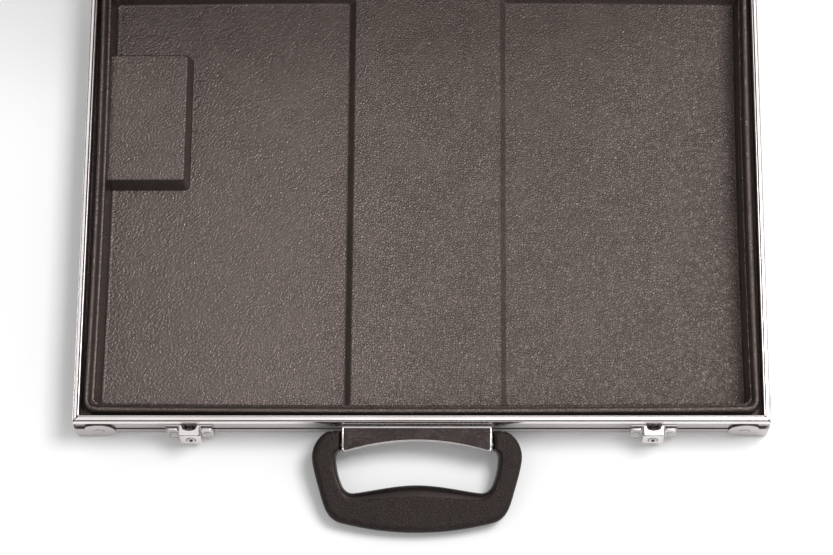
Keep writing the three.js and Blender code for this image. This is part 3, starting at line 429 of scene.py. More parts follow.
# %% Small helpers for nodes
def node(tree, kind, wires=(), **settings):
    """Adds a node; wires gives each input a value or another node's output."""
    made = tree.nodes.new("ShaderNode" + kind)
    for name, value in settings.items():
        setattr(made, name, value)
    for name, value in dict(wires).items():
        if isinstance(value, bpy.types.NodeSocket):
            tree.links.new(value, made.inputs[name])
        else:
            made.inputs[name].default_value = value
    return made


def maths(tree, operation, first, second=0.0, clamp=False):
    made = node(tree, "Math", {0: first, 1: second}, operation=operation, use_clamp=clamp)
    return made.outputs[0]


def ranged(tree, value, low, high, to_low, to_high):
    return node(tree, "MapRange", {"Value": value, "From Min": low, "From Max": high,
                                   "To Min": to_low, "To Max": to_high}).outputs["Result"]


def stretched(tree, place, scale):
    return node(tree, "Mapping", {"Vector": place, "Scale": scale}).outputs["Vector"]


def noise(tree, place, scale, detail=2.0, roughness=0.5):
    return node(tree, "TexNoise", {"Vector": place, "Scale": scale, "Detail": detail,
                                   "Roughness": roughness}).outputs["Fac"]


def new_group(title, inputs, outputs):
    """An empty shader node group with named float or vector sockets."""
    tree = bpy.data.node_groups.new(title, "ShaderNodeTree")
    kinds = {"float": "NodeSocketFloat", "vector": "NodeSocketVector"}
    for name, kind, value in inputs:
        made = tree.interface.new_socket(name=name, in_out="INPUT", socket_type=kinds[kind])
        if value is not None:
            made.default_value = value
    for name in outputs:
        tree.interface.new_socket(name=name, in_out="OUTPUT", socket_type=kinds["float"])
    return tree, tree.nodes.new("NodeGroupInput").outputs, tree.nodes.new("NodeGroupOutput").inputs


def use_group(tree, group, **values):
    """Places a group in a material with its own values."""
    made = tree.nodes.new("ShaderNodeGroup")
    made.node_tree = group
    for name, value in values.items():
        if isinstance(value, bpy.types.NodeSocket):
            tree.links.new(value, made.inputs[name])
        else:
            made.inputs[name].default_value = value
    return made.outputs


# %% [markdown]
# ### Leatherette and moulded grain
# A pebbled surface is a field of little domes with creases where they meet. Voronoi noise gives the
# distance to the nearest crease; a slow distortion stops the cells from looking like a honeycomb, and a
# second, finer layer roughens the domes.

# %% The pebble group
def pebble_grain():
    tree, given, out = new_group(
        "pebble_grain",
        [("Place", "vector", None), ("Cells per metre", "float", 900.0), ("Wander", "float", 0.3),
         ("Domes", "float", 0.7)],
        ["Height", "Crease"])
    place, cells = given["Place"], given["Cells per metre"]
    wander = node(tree, "TexNoise", {
        "Vector": place, "Scale": maths(tree, "MULTIPLY", cells, 0.6), "Detail": 1.0})
    push = node(tree, "VectorMath", {
        0: wander.outputs["Color"], "Scale": maths(tree, "DIVIDE", given["Wander"], cells),
    }, operation="SCALE")
    place = node(tree, "VectorMath", {0: place, 1: push.outputs[0]}, operation="ADD").outputs[0]
    edges = node(tree, "TexVoronoi", {"Vector": place, "Scale": cells}, feature="DISTANCE_TO_EDGE")
    dome = ranged(tree, edges.outputs["Distance"], 0.0, 0.45, 0.0, 1.0)
    rough = noise(tree, place, maths(tree, "MULTIPLY", cells, 2.3), 2.0)
    height = maths(tree, "ADD", maths(tree, "MULTIPLY", dome, given["Domes"]),
                   maths(tree, "MULTIPLY", rough, 0.6))
    tree.links.new(height, out["Height"])
    tree.links.new(maths(tree, "SUBTRACT", 1.0, dome, clamp=True), out["Crease"])
    return tree


pebble = pebble_grain()
print("Pebble grain:", len(pebble.nodes), "nodes")

# %% [markdown]
# ### Lines along a rail
# An extrusion is scored by its die, so it carries fine lines along its whole length. Noise that is
# stretched a hundred times along the bar gives such lines. The bar's own place is stored on the mesh
# as the attribute own_place before the bar is turned to its side of the case, so x always runs along it.

# %% The drawn-line and the handling groups
def drawn_lines():
    tree, given, out = new_group(
        "drawn_lines", [("Place", "vector", None), ("Lines per metre", "float", 1800.0)],
        ["Lines", "Cloud"])
    thin = noise(tree, stretched(tree, given["Place"], (0.006, 1, 1)), given["Lines per metre"], 3.0, 0.65)
    tree.links.new(thin, out["Lines"])
    tree.links.new(noise(tree, stretched(tree, given["Place"], (0.3, 1, 1)), 60.0, 3.0), out["Cloud"])
    return tree


def handling_smudges():
    tree, given, out = new_group(
        "handling_smudges", [("Place", "vector", None), ("Size", "float", 0.012)], ["Smudge", "Speck"])
    scale = maths(tree, "DIVIDE", 1.0, given["Size"])
    cloud = node(tree, "TexNoise", {"Vector": given["Place"], "Scale": scale, "Detail": 5.0,
                                    "Roughness": 0.62, "Distortion": 0.6}).outputs["Fac"]
    tree.links.new(ranged(tree, cloud, 0.42, 0.68, 0.0, 1.0), out["Smudge"])
    dots = node(tree, "TexVoronoi", {
        "Vector": given["Place"], "Scale": maths(tree, "MULTIPLY", scale, 9.0)}).outputs
    cut = ranged(tree, dots["Distance"], 0.12, 0.34, 1.0, 0.0)
    chance = node(tree, "SeparateColor", {"Color": dots["Color"]}).outputs[0]
    few = ranged(tree, chance, 0.80, 0.86, 0.0, 1.0)
    tree.links.new(maths(tree, "MULTIPLY", cut, few), out["Speck"])
    return tree


lines, smudge = drawn_lines(), handling_smudges()
print("Groups built:", [g.name for g in bpy.data.node_groups])


# %% Blank materials
def new_finish(title, **values):
    """A material with a Principled BSDF whose plain values are set on its own sockets."""
    finish = bpy.data.materials.new(title)
    finish.use_nodes = True
    tree = finish.node_tree
    shader = tree.nodes["Principled BSDF"]
    for name, value in values.items():
        shader.inputs[name.replace("_", " ")].default_value = value
    return finish, tree, shader


def tinted(tree, shader, factor, first, second):
    """Base Color between two tints."""
    first, second = [(*c, 1) if isinstance(c, tuple) else c for c in (first, second)]
    mix = node(tree, "Mix", {"Factor": factor, "A": first, "B": second}, data_type="RGBA")
    tree.links.new(mix.outputs["Result"], shader.inputs["Base Color"])
    return mix.outputs["Result"]


def bumped(tree, shader, height, distance, strength=1.0):
    bump = node(tree, "Bump", {"Height": height, "Distance": distance, "Strength": strength})
    tree.links.new(bump.outputs["Normal"], shader.inputs["Normal"])


def object_place(tree):
    return node(tree, "TexCoord").outputs["Object"]


def own_place(tree):
    return node(tree, "Attribute", attribute_name="own_place").outputs["Vector"]


# %% [markdown]
# ### The metals
# Aluminium rails are satin with drawn lines. Corner plates and key plugs are nickel, a warmer and duller
# mirror. Latches and the handle bracket are chromed: nearly a mirror, but stamped sheet is never quite
# flat, so a slow swell in the bump bends its reflections. Hidden backing plates are plain zinc.
# Grooves, mouths, dimples and the rails' outer faces get painted shade, and the rails' joints some dirt: the
# mesh marks those points with an attribute, and the metal's colour darkens there.

# %% Metal finishes
# Painted shade tint, also the dirt in the rails' joints
DIRT_AND_SHADE_TINT = (0.045, 0.033, 0.030)
LINE_SHARE, CLOUD_SHARE = 0.25, 0.75


def metal(title, dark, light, roughness, spread, swell, place=object_place, smudge_size=0.012):
    finish, tree, shader = new_finish(title, Metallic=1.0)
    where = place(tree)
    scored = use_group(tree, lines, Place=where)
    handled = use_group(tree, smudge, Place=where, Size=smudge_size)
    blend = maths(tree, "ADD", maths(tree, "MULTIPLY", scored["Lines"], LINE_SHARE),
                  maths(tree, "MULTIPLY", scored["Cloud"], CLOUD_SHARE))
    clean = tinted(tree, shader, ranged(tree, blend, 0.3, 0.7, 0.0, 1.0), dark, light)
    # Painted shade: the colour darkens where the mesh's mark says so
    dirt_and_painted_shade = node(tree, "Attribute", attribute_name="dirt_and_painted_shade").outputs["Fac"]
    tinted(tree, shader, dirt_and_painted_shade, clean, DIRT_AND_SHADE_TINT)
    rough = maths(tree, "ADD", ranged(tree, blend, 0.3, 0.7, roughness - spread, roughness + spread),
                  maths(tree, "MULTIPLY", handled["Smudge"], spread))
    tree.links.new(rough, shader.inputs["Roughness"])
    height = maths(tree, "ADD", noise(tree, where, 90.0, 1.0),
                   maths(tree, "MULTIPLY", scored["Lines"], 0.02))
    bumped(tree, shader, height, swell)
    return finish


aluminium = metal("satin_aluminium", (0.77, 0.725, 0.715), (0.91, 0.87, 0.86), 0.24, 0.03, 0.00001,
                  own_place)
nickel = metal("nickel_plate", (0.52, 0.485, 0.475), (0.64, 0.60, 0.59), 0.36, 0.05, 0.00005)
chrome = metal("chrome_plate", (0.62, 0.58, 0.57), (0.78, 0.745, 0.735), 0.20, 0.04, 0.00006)
zinc = metal("zinc_steel", (0.42, 0.42, 0.41), (0.58, 0.58, 0.56), 0.42, 0.08, 0.0002)

# %% [markdown]
# ### The dark plastics
# The tray is a vacuum-formed sheet with a leather print: pebbles at the right that turn into slanted wrinkles
# towards the left. Its tint carries painted light: a painted highlight along the ridge and painted shade
# beside it, marked by an attribute on the mesh, and a tint that grows lighter towards the right. The grain's
# tint is darker in the creases and lighter on the domes, partly the print's tone and partly painted shade and
# painted highlight. The boards have a laminate grain and the handle a tight sandy one with low domes; the
# tint range says which heights of the grain set its tint. The handle's inner roll is polished smooth by its
# mould, which the mesh marks with the attribute smooth_roll. The bracket's black lacquer shows the smudges
# and scratches of use.

# %% Plastic finishes
WARM_SHINE = (1.0, 0.81, 0.755, 1.0)
WRINKLE_SLANT, WRINKLE_STRETCH, WRINKLES_PER_METRE = 40, 1.9, 1100.0
WRINKLES_RIGHT, WRINKLES_LEFT = 0.02, -0.17


def plastic(title, dark, light, cells, depth, roughness, shine=0.5, smooth_mark=None, wrinkles=False,
            domes=0.7, tint_heights=(0.0, 1.0)):
    finish, tree, shader = new_finish(title, Specular_Tint=WARM_SHINE, Specular_IOR_Level=shine)
    where = object_place(tree)
    grain = use_group(tree, pebble, Place=where, Domes=domes, **{"Cells per metre": cells})
    handled = use_group(tree, smudge, Place=where, Size=0.02)
    height = grain["Height"]
    # The tint follows the grain's height, darker in the creases and lighter on the domes: partly the print's
    # tone, partly painted shade and painted highlight
    grain_tint = ranged(tree, height, *tint_heights, 0.0, 1.0)
    shade = maths(tree, "ADD", maths(tree, "MULTIPLY", grain_tint, 0.75),
                  maths(tree, "MULTIPLY", handled["Smudge"], 0.15), clamp=True)
    if wrinkles:
        slanted = node(tree, "Mapping", {
            "Vector": where, "Rotation": (0, 0, math.radians(WRINKLE_SLANT)),
            "Scale": (WRINKLE_STRETCH, 1, 1)}, vector_type="TEXTURE").outputs["Vector"]
        folds = maths(tree, "MULTIPLY", noise(tree, slanted, WRINKLES_PER_METRE, 1.0), 1.05)
        across = node(tree, "SeparateXYZ", {0: where}).outputs["X"]
        share = ranged(tree, across, WRINKLES_RIGHT, WRINKLES_LEFT, 0.15, 0.85)
        height = node(tree, "Mix", {"Factor": share, "A": height, "B": folds}).outputs["Result"]
        light_and_shade_marks = node(tree, "Attribute", attribute_name="painted_light_and_shade").outputs["Fac"]
        # Painted light: the tint lighter towards the right, where the lamp stands, times the ridge's painted
        # highlight and shade
        painted_light_factor = maths(tree, "MULTIPLY", ranged(tree, across, WRINKLES_RIGHT, WRINKLES_LEFT, 1.5, 0.74),
                     maths(tree, "ADD", 1.0, light_and_shade_marks))
        shade = maths(tree, "MULTIPLY", shade, painted_light_factor, clamp=True)
    if smooth_mark:
        mark = node(tree, "Attribute", attribute_name=smooth_mark).outputs["Fac"]
        height = maths(tree, "MULTIPLY", height, maths(tree, "SUBTRACT", 1.0, mark, clamp=True))
    tinted(tree, shader, shade, dark, light)
    rough = maths(tree, "ADD", ranged(tree, grain["Crease"], 0.0, 1.0, roughness, roughness + 0.10),
                  maths(tree, "MULTIPLY", handled["Smudge"], 0.06))
    tree.links.new(rough, shader.inputs["Roughness"])
    bumped(tree, shader, height, depth)
    return finish


def scratched_lacquer():
    finish, tree, shader = new_finish("black_lacquer", Specular_Tint=WARM_SHINE, Specular_IOR_Level=0.42)
    where = object_place(tree)
    handled = use_group(tree, smudge, Place=where, Size=0.009)
    dashes = noise(tree, stretched(tree, where, (0.35, 1, 1)), 900.0, 3.0)
    dust = maths(tree, "MAXIMUM", ranged(tree, dashes, 0.62, 0.72, 0.0, 1.0), handled["Speck"])
    mask = maths(tree, "ADD", maths(tree, "MULTIPLY", dust, 0.9),
                 maths(tree, "MULTIPLY", handled["Smudge"], 0.3), clamp=True)
    tinted(tree, shader, mask, (0.006, 0.0045, 0.0043), (0.075, 0.062, 0.058))
    tree.links.new(ranged(tree, mask, 0.0, 1.0, 0.26, 0.5), shader.inputs["Roughness"])
    bumped(tree, shader, use_group(tree, lines, Place=where)["Cloud"], 0.00008)
    return finish


leatherette = plastic("leatherette_tray", (0.012, 0.0095, 0.0087), (0.106, 0.085, 0.077), 600.0, 0.00068,
                      0.22, 1.0, wrinkles=True)
laminate = plastic("board_laminate", (0.012, 0.010, 0.010), (0.036, 0.031, 0.030), 560.0, 0.00018, 0.42)
sandy_plastic = plastic("sandy_plastic", (0.001, 0.0008, 0.0007), (0.034, 0.027, 0.025), 700.0,
                        0.0009, 0.24, 0.38, "smooth_roll", domes=0.2, tint_heights=(0.34, 0.66))
rubber = plastic("foot_rubber", (0.010, 0.0095, 0.009), (0.022, 0.020, 0.019), 1900.0, 0.00006, 0.72, 0.3)
lacquer = scratched_lacquer()

# %% [markdown]
# ## The rails
# Each half is framed by four aluminium extrusions, cut at 45 degrees and butted at the corners. A rail is
# its section drawn once and carried along the side; u counts inwards from the outermost plane and z up.
# Rounding every corner of the section matters more than anything else here: the thin bright and dark lines
# along the rim are reflections in those small curves, and the darkest ones in the grooves also get painted
# shade.

# %% Draw the rail section
RIM_BEAD = [(2.8, 34, 0.12), (2.85, 33.5, 0.1), (3.35, 33.5, 0.1), (3.4, 34.1, 0.25), (3.75, 34.5, 0.3),
            (4.2, 34.5, 0.3), (4.7, 33.9, 0.3)]
RIM_REBATE = [(2.5, 34, 0.3), (2.5, 33.2, 0.1), (4.7, 33.2, 0.2)]
RAIL_INSIDE = [
    (4.7, 32.2, 0.2), (2.4, 32.2, 0.3), (2.4, 5.8, 0.4), (8, 5.8, 0.2), (8, 4.4, 0.2), (2.7, 4.4, 0.1),
    (2.7, 2.0, 0.1), (8, 2.0, 0.2), (8, 0.6, 0.3), (3.0, 0.6, 0.8),
]
RAIL_OUTSIDE = [
    (1.1, 3.0, 1.6), (0.7, 6, 1.2), (0.7, 12.4, 0.25), (1.9, 12.6, 0.15), (1.9, 16.6, 0.15),
    (0.7, 16.8, 0.25), (0.7, 27.6, 0.15), (0.2, 27.9, 0.4), (0, 29.0, 0.7), (0, 31.3, 0.8),
    (0.5, 33.0, 0.3), (0.75, 33.2, 0.12), (0.95, 32.6, 0.1), (1.25, 32.6, 0.1), (1.3, 34, 0.35),
]
NICK = 0.3
# Painted shade on the outer faces and in the groove; dirt in the mitred joints
OUTER_FACE_SHADE, GROOVE_SHADE, JOINT_DIRT = 0.42, 0.95, 0.7
RAIL_GAP = 0.14


def rail_skin(length, is_lid):
    """The section carried along a side, with a fine nick round each mitred end, its painted shade and joint
    dirt.
    """
    section = soften((RIM_REBATE if is_lid else RIM_BEAD) + RAIL_INSIDE + RAIL_OUTSIDE)
    # Painted shade in the top groove, on the side rails only
    top_groove_shade = 1.0 if length == CASE_D else 0.0

    # Painted shade: how dark each point of the section is painted
    def painted_dark(u, z):
        if u > 2:
            return top_groove_shade if 2.82 < u < 3.38 and 33.4 < z < 33.95 else 0.0
        if z > 29.5:
            return 0.6 if 0.85 < u < 1.28 and 32.5 < z < 33.7 else 0.0
        return GROOVE_SHADE if 0.9 < u and 12.4 < z < 16.8 else OUTER_FACE_SHADE

    dirt_and_painted_shade = [painted_dark(u, z) for u, z in section]
    rings = []
    for sign, back, shrink in ((-1, 0, NICK), (-1, NICK, 0), (1, NICK, 0), (1, 0, NICK)):
        half = length / 2 - RAIL_GAP - back
        rings.append([(sign * (half - u), u, z) for u, z in (inset(section, shrink) if shrink else section)])
    joint = [JOINT_DIRT] * len(section)
    return loft(rings), joint + dirt_and_painted_shade * 2 + joint


for half, place, named in HALVES:
    for side, (length, turn) in SIDES.items():
        skin, dirt_and_painted_shade = rail_skin(length, half == "lid")
        fine(f"{half}_rail_{named(side)}", skin, aluminium, half, place @ turn, {"dirt_and_painted_shade": dirt_and_painted_shade})
print("Rails: 8 with", len(soften(RIM_BEAD + RAIL_INSIDE + RAIL_OUTSIDE)), "points in their section")

# %% [markdown]
# ## The trays
# A tray is one plastic sheet drawn over a mould: a flat lip under the rail, a dark channel, a rolled ridge,
# a narrow ledge, leaning walls, and in the base two deep compartments with a band between them and a block
# at the left. Such a sheet is never quite true: its sides bow, and the left ridge lies a little further out.
# Seen from above, all of that is a stack of nested rounded rectangles, each with its own height.
# So the rectangles are laid out flat, triangulated together, and every point is lifted to the height that
# it has between its two nearest rectangles. Creases then follow the drawing exactly, with no grid to see.

# %% Levels of a tray
TRAY_X = 1.0
RIDGE_IN_SIDE, RIDGE_IN_FRONT = 10.3, 8.6
CHANNEL_Z = 24
DRAFT_SIDE, DRAFT_FRONT = 1.7, 5.4
BASE_FLOOR, LID_FLOOR = 7, 12
BAND_TOP, BAND_LEFT, BAND_RIGHT = 14, -47, 51.4
BLOCK_RIGHT, BLOCK_FRONT, BLOCK_BACK, BLOCK_TOP = -159.4, 9.9, 99.4, 21
LEDGE = 1.25
SHEET = 2.0
FLOOR_ROUND = [(1.5, 0.0), (0.9, 0.12), (0.4, 0.45), (0.12, 0.9), (0.0, 1.5)]


def level(in_side, in_front, radius, z, shift=TRAY_X):
    """One rounded rectangle of a tray: x and y limits, corner radius, height."""
    half_w, half_d = CASE_W / 2 - in_side, CASE_D / 2 - in_front
    return (shift - half_w, shift + half_w, -half_d, half_d, radius, z)


def wall_in(z, draft, extra=0.0):
    return 2.35 + draft * (HALF_H - z) / (HALF_H - BASE_FLOOR) + extra


def wall_level(z, extra=0.0):
    radius = 3 + 1.3 * max(0.0, z - BAND_TOP) / (HALF_H - BAND_TOP)
    return level(RIDGE_IN_SIDE + wall_in(z, DRAFT_SIDE, extra),
                 RIDGE_IN_FRONT + wall_in(z, DRAFT_FRONT, extra), radius, z)


def rim_levels():
    """From the lip under the rail over the channel and the ridge to the top of the wall."""
    rim = [level(2.7, 2.7, 0.3, 31.9, shift=0), level(4.0, 4.0, 0.4, 31.9, shift=0),
           level(4.3, 4.3, 0.6, 31.2, shift=0), level(4.7, 4.7, 1.0, CHANNEL_Z + 0.8, shift=0),
           level(6.1, 5.2, 2.5, CHANNEL_Z), level(7.2, 5.6, 6, CHANNEL_Z + 0.3)]
    ridge = [(-2.6, CHANNEL_Z + 1.2), (-2.4, 27.5), (-2.15, 30), (-1.8, 31.5), (-1.35, 32.5), (-0.75, 33.15),
             (0, 33.4), (0.6, 33.2), (1.1, 32.7), (1.55, 31.8), (2.0, 30.7), (2.35, 29.6)]
    rim += [level(RIDGE_IN_SIDE + e, RIDGE_IN_FRONT + e, 6.6 - e, z) for e, z in ridge]
    return rim + [wall_level(28.9), wall_level(28.2, 0.3), wall_level(27.9, 0.9), wall_level(27.0, LEDGE)]


def pocket_levels(left_side):
    """A compartment: the tray's own walls on three sides, the band's slope on the fourth."""
    slope = [(14, -0.9), (13.85, -0.3), (13.3, 0.25), (12.6, 0.6)]
    slope += [(BASE_FLOOR + up, 3.1 + 1.5 * out) for up, out in FLOOR_ROUND]
    levels = []
    for z, offset in slope:
        foot = max(out if z <= BASE_FLOOR + up else 0 for up, out in FLOOR_ROUND)
        x0, x1, y0, y1, radius, _ = wall_level(z, LEDGE + foot)
        edge = (BAND_LEFT - offset) if left_side else (BAND_RIGHT + offset)
        levels.append((x0, edge, y0, y1, radius, z) if left_side else (edge, x1, y0, y1, radius, z))
    return levels


def block_levels():
    """The raised block: it grows out of the left wall and leans a little on its three free sides."""
    left = TRAY_X - CASE_W / 2 + RIDGE_IN_SIDE + wall_in(BLOCK_TOP, DRAFT_SIDE) - 3
    spread = [(3.6, 7), (2.9, 7.25), (2.45, 8), (1.6, 12), (0.75, 17.5), (0.3, 19.8), (0, 20.5),
              (-0.5, 20.9), (-1.2, BLOCK_TOP)]
    return [(left - 0.1 * s, BLOCK_RIGHT + s, BLOCK_FRONT - s, BLOCK_BACK + s, 2.2 + 0.3 * s, z)
            for s, z in spread]


# %% From levels to a sheet
def beyond(ring, x, y):
    """How far points lie outside a rounded rectangle; below zero inside it."""
    x0, x1, y0, y1, radius = ring
    dx = np.maximum(np.maximum(x0 + radius - x, x - x1 + radius), 0)
    dy = np.maximum(np.maximum(y0 + radius - y, y - y1 + radius), 0)
    return np.hypot(dx, dy) - radius


def lifted(levels, x, y):
    """The height of a stack of levels at each point, halving the step between two levels to find it."""
    height = np.full(len(x), float(levels[0][5]))
    for outer, inner in zip(levels, levels[1:]):
        low, high = np.zeros(len(x)), np.ones(len(x))
        for _ in range(16):
            middle = (low + high) / 2
            ring = [a + (b - a) * middle for a, b in zip(outer[:5], inner[:5])]
            within = beyond(ring, x, y) < 0
            low, high = np.where(within, middle, low), np.where(within, high, middle)
        height = np.where(beyond(outer[:5], x, y) < 0, outer[5] + (inner[5] - outer[5]) * low, height)
    return height


LEFT_PULL = 1.9
SIDE_BOW, END_BOW, BOW_CURVE = 0.6, 0.5, 1.2


def painted_light_and_shade(x, y):
    """Painted highlight along the ridge above zero and painted shade beside it below zero, different at the
    right.
    """
    past_crest = np.minimum(CASE_W / 2 - RIDGE_IN_SIDE - np.abs(x - TRAY_X),
                            CASE_D / 2 - RIDGE_IN_FRONT - np.abs(y))
    bands = [(-9, 0), (-2.6, -0.5), (-1.1, -0.4), (-0.7, 0.8), (1.0, 0.8), (1.4, -0.8), (2.5, -0.8),
             (2.8, 0.7), (3.6, 0.7), (3.9, -0.7), (5.2, -0.7), (5.8, 0), (300, 0)]
    right_bands = [(-9, 0), (-2.6, 0.4), (1.0, 0.4), (1.4, -0.8), (5.2, -0.8), (5.8, 0), (300, 0)]
    on_right = CASE_W / 2 - x < CASE_D / 2 - np.abs(y) + 3
    return np.where(on_right, np.interp(past_crest, *zip(*right_bands)),
                    np.interp(past_crest, *zip(*bands)))


def bowed(x, y):
    """A drawn sheet is never quite straight: its long sides bulge out and its short sides pull in."""
    from_side, from_end = CASE_W / 2 - np.abs(x), CASE_D / 2 - np.abs(y)
    near_side = np.clip((from_side - 5.5) / 3, 0, 1) * np.clip((34 - from_side) / 14, 0, 1)
    near_end = np.clip((from_end - 5) / 2.5, 0, 1) * np.clip((34 - from_end) / 14, 0, 1)
    along_x, along_y = np.abs(x) / 195, np.abs(y) / 140
    pull = -np.sign(x) * near_side * (SIDE_BOW - BOW_CURVE * along_y ** 2)
    ridge_share = np.clip((from_side - 6.3) / 2.2, 0, 1) * np.clip((19 - from_side) / 5, 0, 1)
    pull -= LEFT_PULL * (x < 0) * ridge_share
    push = np.sign(y) * near_end * (END_BOW - BOW_CURVE * along_x ** 2)
    return x + pull, y + push


def tray_skin(bowl, pockets=(), block=()):
    """Triangulates all levels together, lifts the points and closes the sheet underneath."""
    flat, edges = [], []
    for x0, x1, y0, y1, radius, _ in [*bowl, *(ring for pocket in pockets for ring in pocket), *block]:
        outline = round_rect(x0, x1, y0, y1, radius, 5, 8)
        start = len(flat)
        flat += [Vector(p) for p in outline]
        edges += [(start + i, start + (i + 1) % len(outline)) for i in range(len(outline))]
    points, _, faces, *_ = delaunay_2d_cdt(flat, edges, [], 0, 1e-5)
    x, y = np.array([p.x for p in points]), np.array([p.y for p in points])
    z = lifted(bowl, x, y)
    for pocket in pockets:
        z += lifted(pocket, x, y) - BAND_TOP
    if block:
        z = np.maximum(z, lifted(block, x, y))
    mark = painted_light_and_shade(x, y)
    x, y = bowed(x, y)
    count = len(points)
    verts = [*zip(x, y, z), *zip(x, y, z - SHEET)]
    sides = {(a, b) for face in faces for a, b in zip(face, (*face[1:], face[0]))}
    skirt = [(b, a, a + count, b + count) for a, b in sides if (b, a) not in sides]
    below = [tuple(i + count for i in reversed(face)) for face in faces]
    return (verts, [*map(tuple, faces), *below, *skirt]), {"painted_light_and_shade": [*mark, *np.zeros(count)]}


base_bowl = rim_levels() + [wall_level(BLOCK_TOP, LEDGE), wall_level(BAND_TOP, LEDGE)]
lid_bowl = rim_levels() + [wall_level(LID_FLOOR + up, LEDGE + out) for up, out in FLOOR_ROUND]
base_tray, base_light_marks = tray_skin(base_bowl, [pocket_levels(True), pocket_levels(False)], block_levels())
lid_tray, lid_light_marks = tray_skin(lid_bowl)
make_piece("base_tray", base_tray, leatherette, "base", HERE, ["base_liner"], base_light_marks)
make_piece("lid_tray", lid_tray, leatherette, "lid", LID_HALF, ["lid_liner"], lid_light_marks)
print("Base tray:", len(base_tray[1]), "faces")

# %% [markdown]
# ## The handle
# The handle is moulded in one piece: two arms on the pivots and a deep grip between them. Its cross-section
# changes all the way round, so it is built as a loft. Two curves, outside and inside, are drawn
# for one half; each pair of points on them carries one section, and the mirror image gives the other half.
# The section has a soft outer edge, a grained face, a crease, and a polished half-round roll inside.

# %% The handle's curves and sections
ARM_X = 48.85


def bezier(a, b, c, d, steps):
    """Points on a cubic curve, without its start."""
    points = []
    for i in range(1, steps + 1):
        t = i / steps
        weights = ((1 - t) ** 3, 3 * t * (1 - t) ** 2, 3 * t * t * (1 - t), t ** 3)
        points.append(tuple(sum(w * p[k] for w, p in zip(weights, (a, b, c, d))) for k in (0, 1)))
    return points


HANDLE_OUTSIDE = [
    (54.85, 9),
    *bezier((54.85, 9), (60.85, 9), (67.9, 1), (67.9, -8), 9),
    *bezier((67.9, -8), (67.9, -14), (64.1, -26), (61.6, -35), 8),
    *bezier((61.6, -35), (58.9, -44), (55.8, -49.4), (47.4, -51), 8),
    *bezier((47.4, -51), (32, -54.8), (16, -56.8), (0, -56.8), 12),
]
HANDLE_INSIDE = [
    *[(ARM_X, 9 - 2.1 * i) for i in range(7)],
    *bezier((ARM_X, -3.6), (51.05, -4.4), (52.3, -6), (52.3, -8.5), 3),
    *bezier((52.3, -8.5), (52.3, -14), (51, -20), (48.8, -25.3), 8),
    *bezier((48.8, -25.3), (47.3, -29.3), (44.5, -31.4), (41, -31.2), 8),
    *bezier((41, -31.2), (30, -30), (15, -26.1), (0, -26.1), 12),
]
HANDLE_HALF_T = 6.5
EDGE_ROUND = 3.0


def handle_section(outer, inner, roll, scale):
    """One closed section between two points, and how polished each of its points is."""
    width = math.dist(outer, inner)
    top = [(0, 0, 0), (0, 2.4, 0)]
    top += [(1.6 * EDGE_ROUND * (1 - math.cos(a)), HANDLE_HALF_T - EDGE_ROUND * (1 - math.sin(a)), 0)
            for a in (0.2, 0.5, 0.8, 1.1, 1.35, 1.57)]
    top += [(width - roll - 1.6, HANDLE_HALF_T, 0), (width - roll - 0.6, HANDLE_HALF_T - 0.05, 0.1),
            (width - roll, HANDLE_HALF_T - 0.3, 0.8)]
    top += [(width - roll + roll * math.sin(a), (HANDLE_HALF_T - 0.25) * math.cos(a), 1)
            for a in (0.3, 0.6, 0.9, 1.15, 1.4, math.pi / 2)]
    whole = top + [(across, -z, mark) for across, z, mark in top[-2:0:-1]]
    points = []
    for across, z, _ in whole:
        t = 0.5 + (across / width - 0.5) * scale
        points.append((outer[0] + (inner[0] - outer[0]) * t, outer[1] + (inner[1] - outer[1]) * t, z * scale))
    return points, [mark for _, _, mark in whole]


def handle_skin():
    """Half the sections from the root to the middle of the grip, then their mirror image."""
    pairs = list(zip(HANDLE_OUTSIDE, HANDLE_INSIDE))
    root = pairs[0]
    ends = [((o[0], o[1] - back), (i[0], i[1] - back), scale)
            for (o, i), back, scale in ((root, 0, 0.8), (root, 0.35, 0.93), (root, 1.1, 1.0))]
    stations = ends + [(o, i, 1.0) for o, i in pairs[1:]]
    rings, polish = [], []
    for outer, inner, scale in stations:
        towards_middle = min(1.0, max(0.0, (47 - inner[0]) / 38)) if inner[1] < -24 else 0.0
        ring, marks = handle_section(outer, inner, 2.6 + 4.8 * math.sqrt(towards_middle), scale)
        rings.append(ring)
        polish.append(marks)
    rings += [[(-x, y, z) for x, y, z in ring] for ring in rings[-2::-1]]
    polish += polish[-2::-1]
    return loft(rings), [mark for marks in polish for mark in marks]


# %% Hang the handle on its pivots
PIVOT_OUT, PIVOT_Z = 11, 18
HANDLE_DROOP = 12.18
BRACKET = FRONT @ moved(-3, 0, 0)
HANDLE_SWING = BRACKET @ moved(0, -PIVOT_OUT, PIVOT_Z) @ spun(HANDLE_DROOP, "X")
handle_mesh, handle_polish = handle_skin()
make_piece("handle_loop", handle_mesh, sandy_plastic, "handle", HANDLE_SWING, ["handle_grip"],
           {"smooth_roll": handle_polish})
print("Handle:", len(handle_mesh[0]), "points")

# %% [markdown]
# ## The bracket
# The bracket is a chromed cover, open below, with an arched front that leaves room for the fingers.
# Only a thin bright edge of the chrome shows from above: the field inside it is a black lacquered inlay.

# %% Bracket, inlay, pivots and backing
BRACKET_HALF, BRACKET_TOP, BRACKET_UNDER, BACK_RIM = 48.3, 25, 12, 1.1
ARCH_ENDS, ARCH_MIDDLE, ARCH_STEPS = -17.5, -10, 24
BACKING_FRONT, BACKING_BACK, RIVET_R, SHANK_END = 2.7, 4.3, 1.3, 3.5


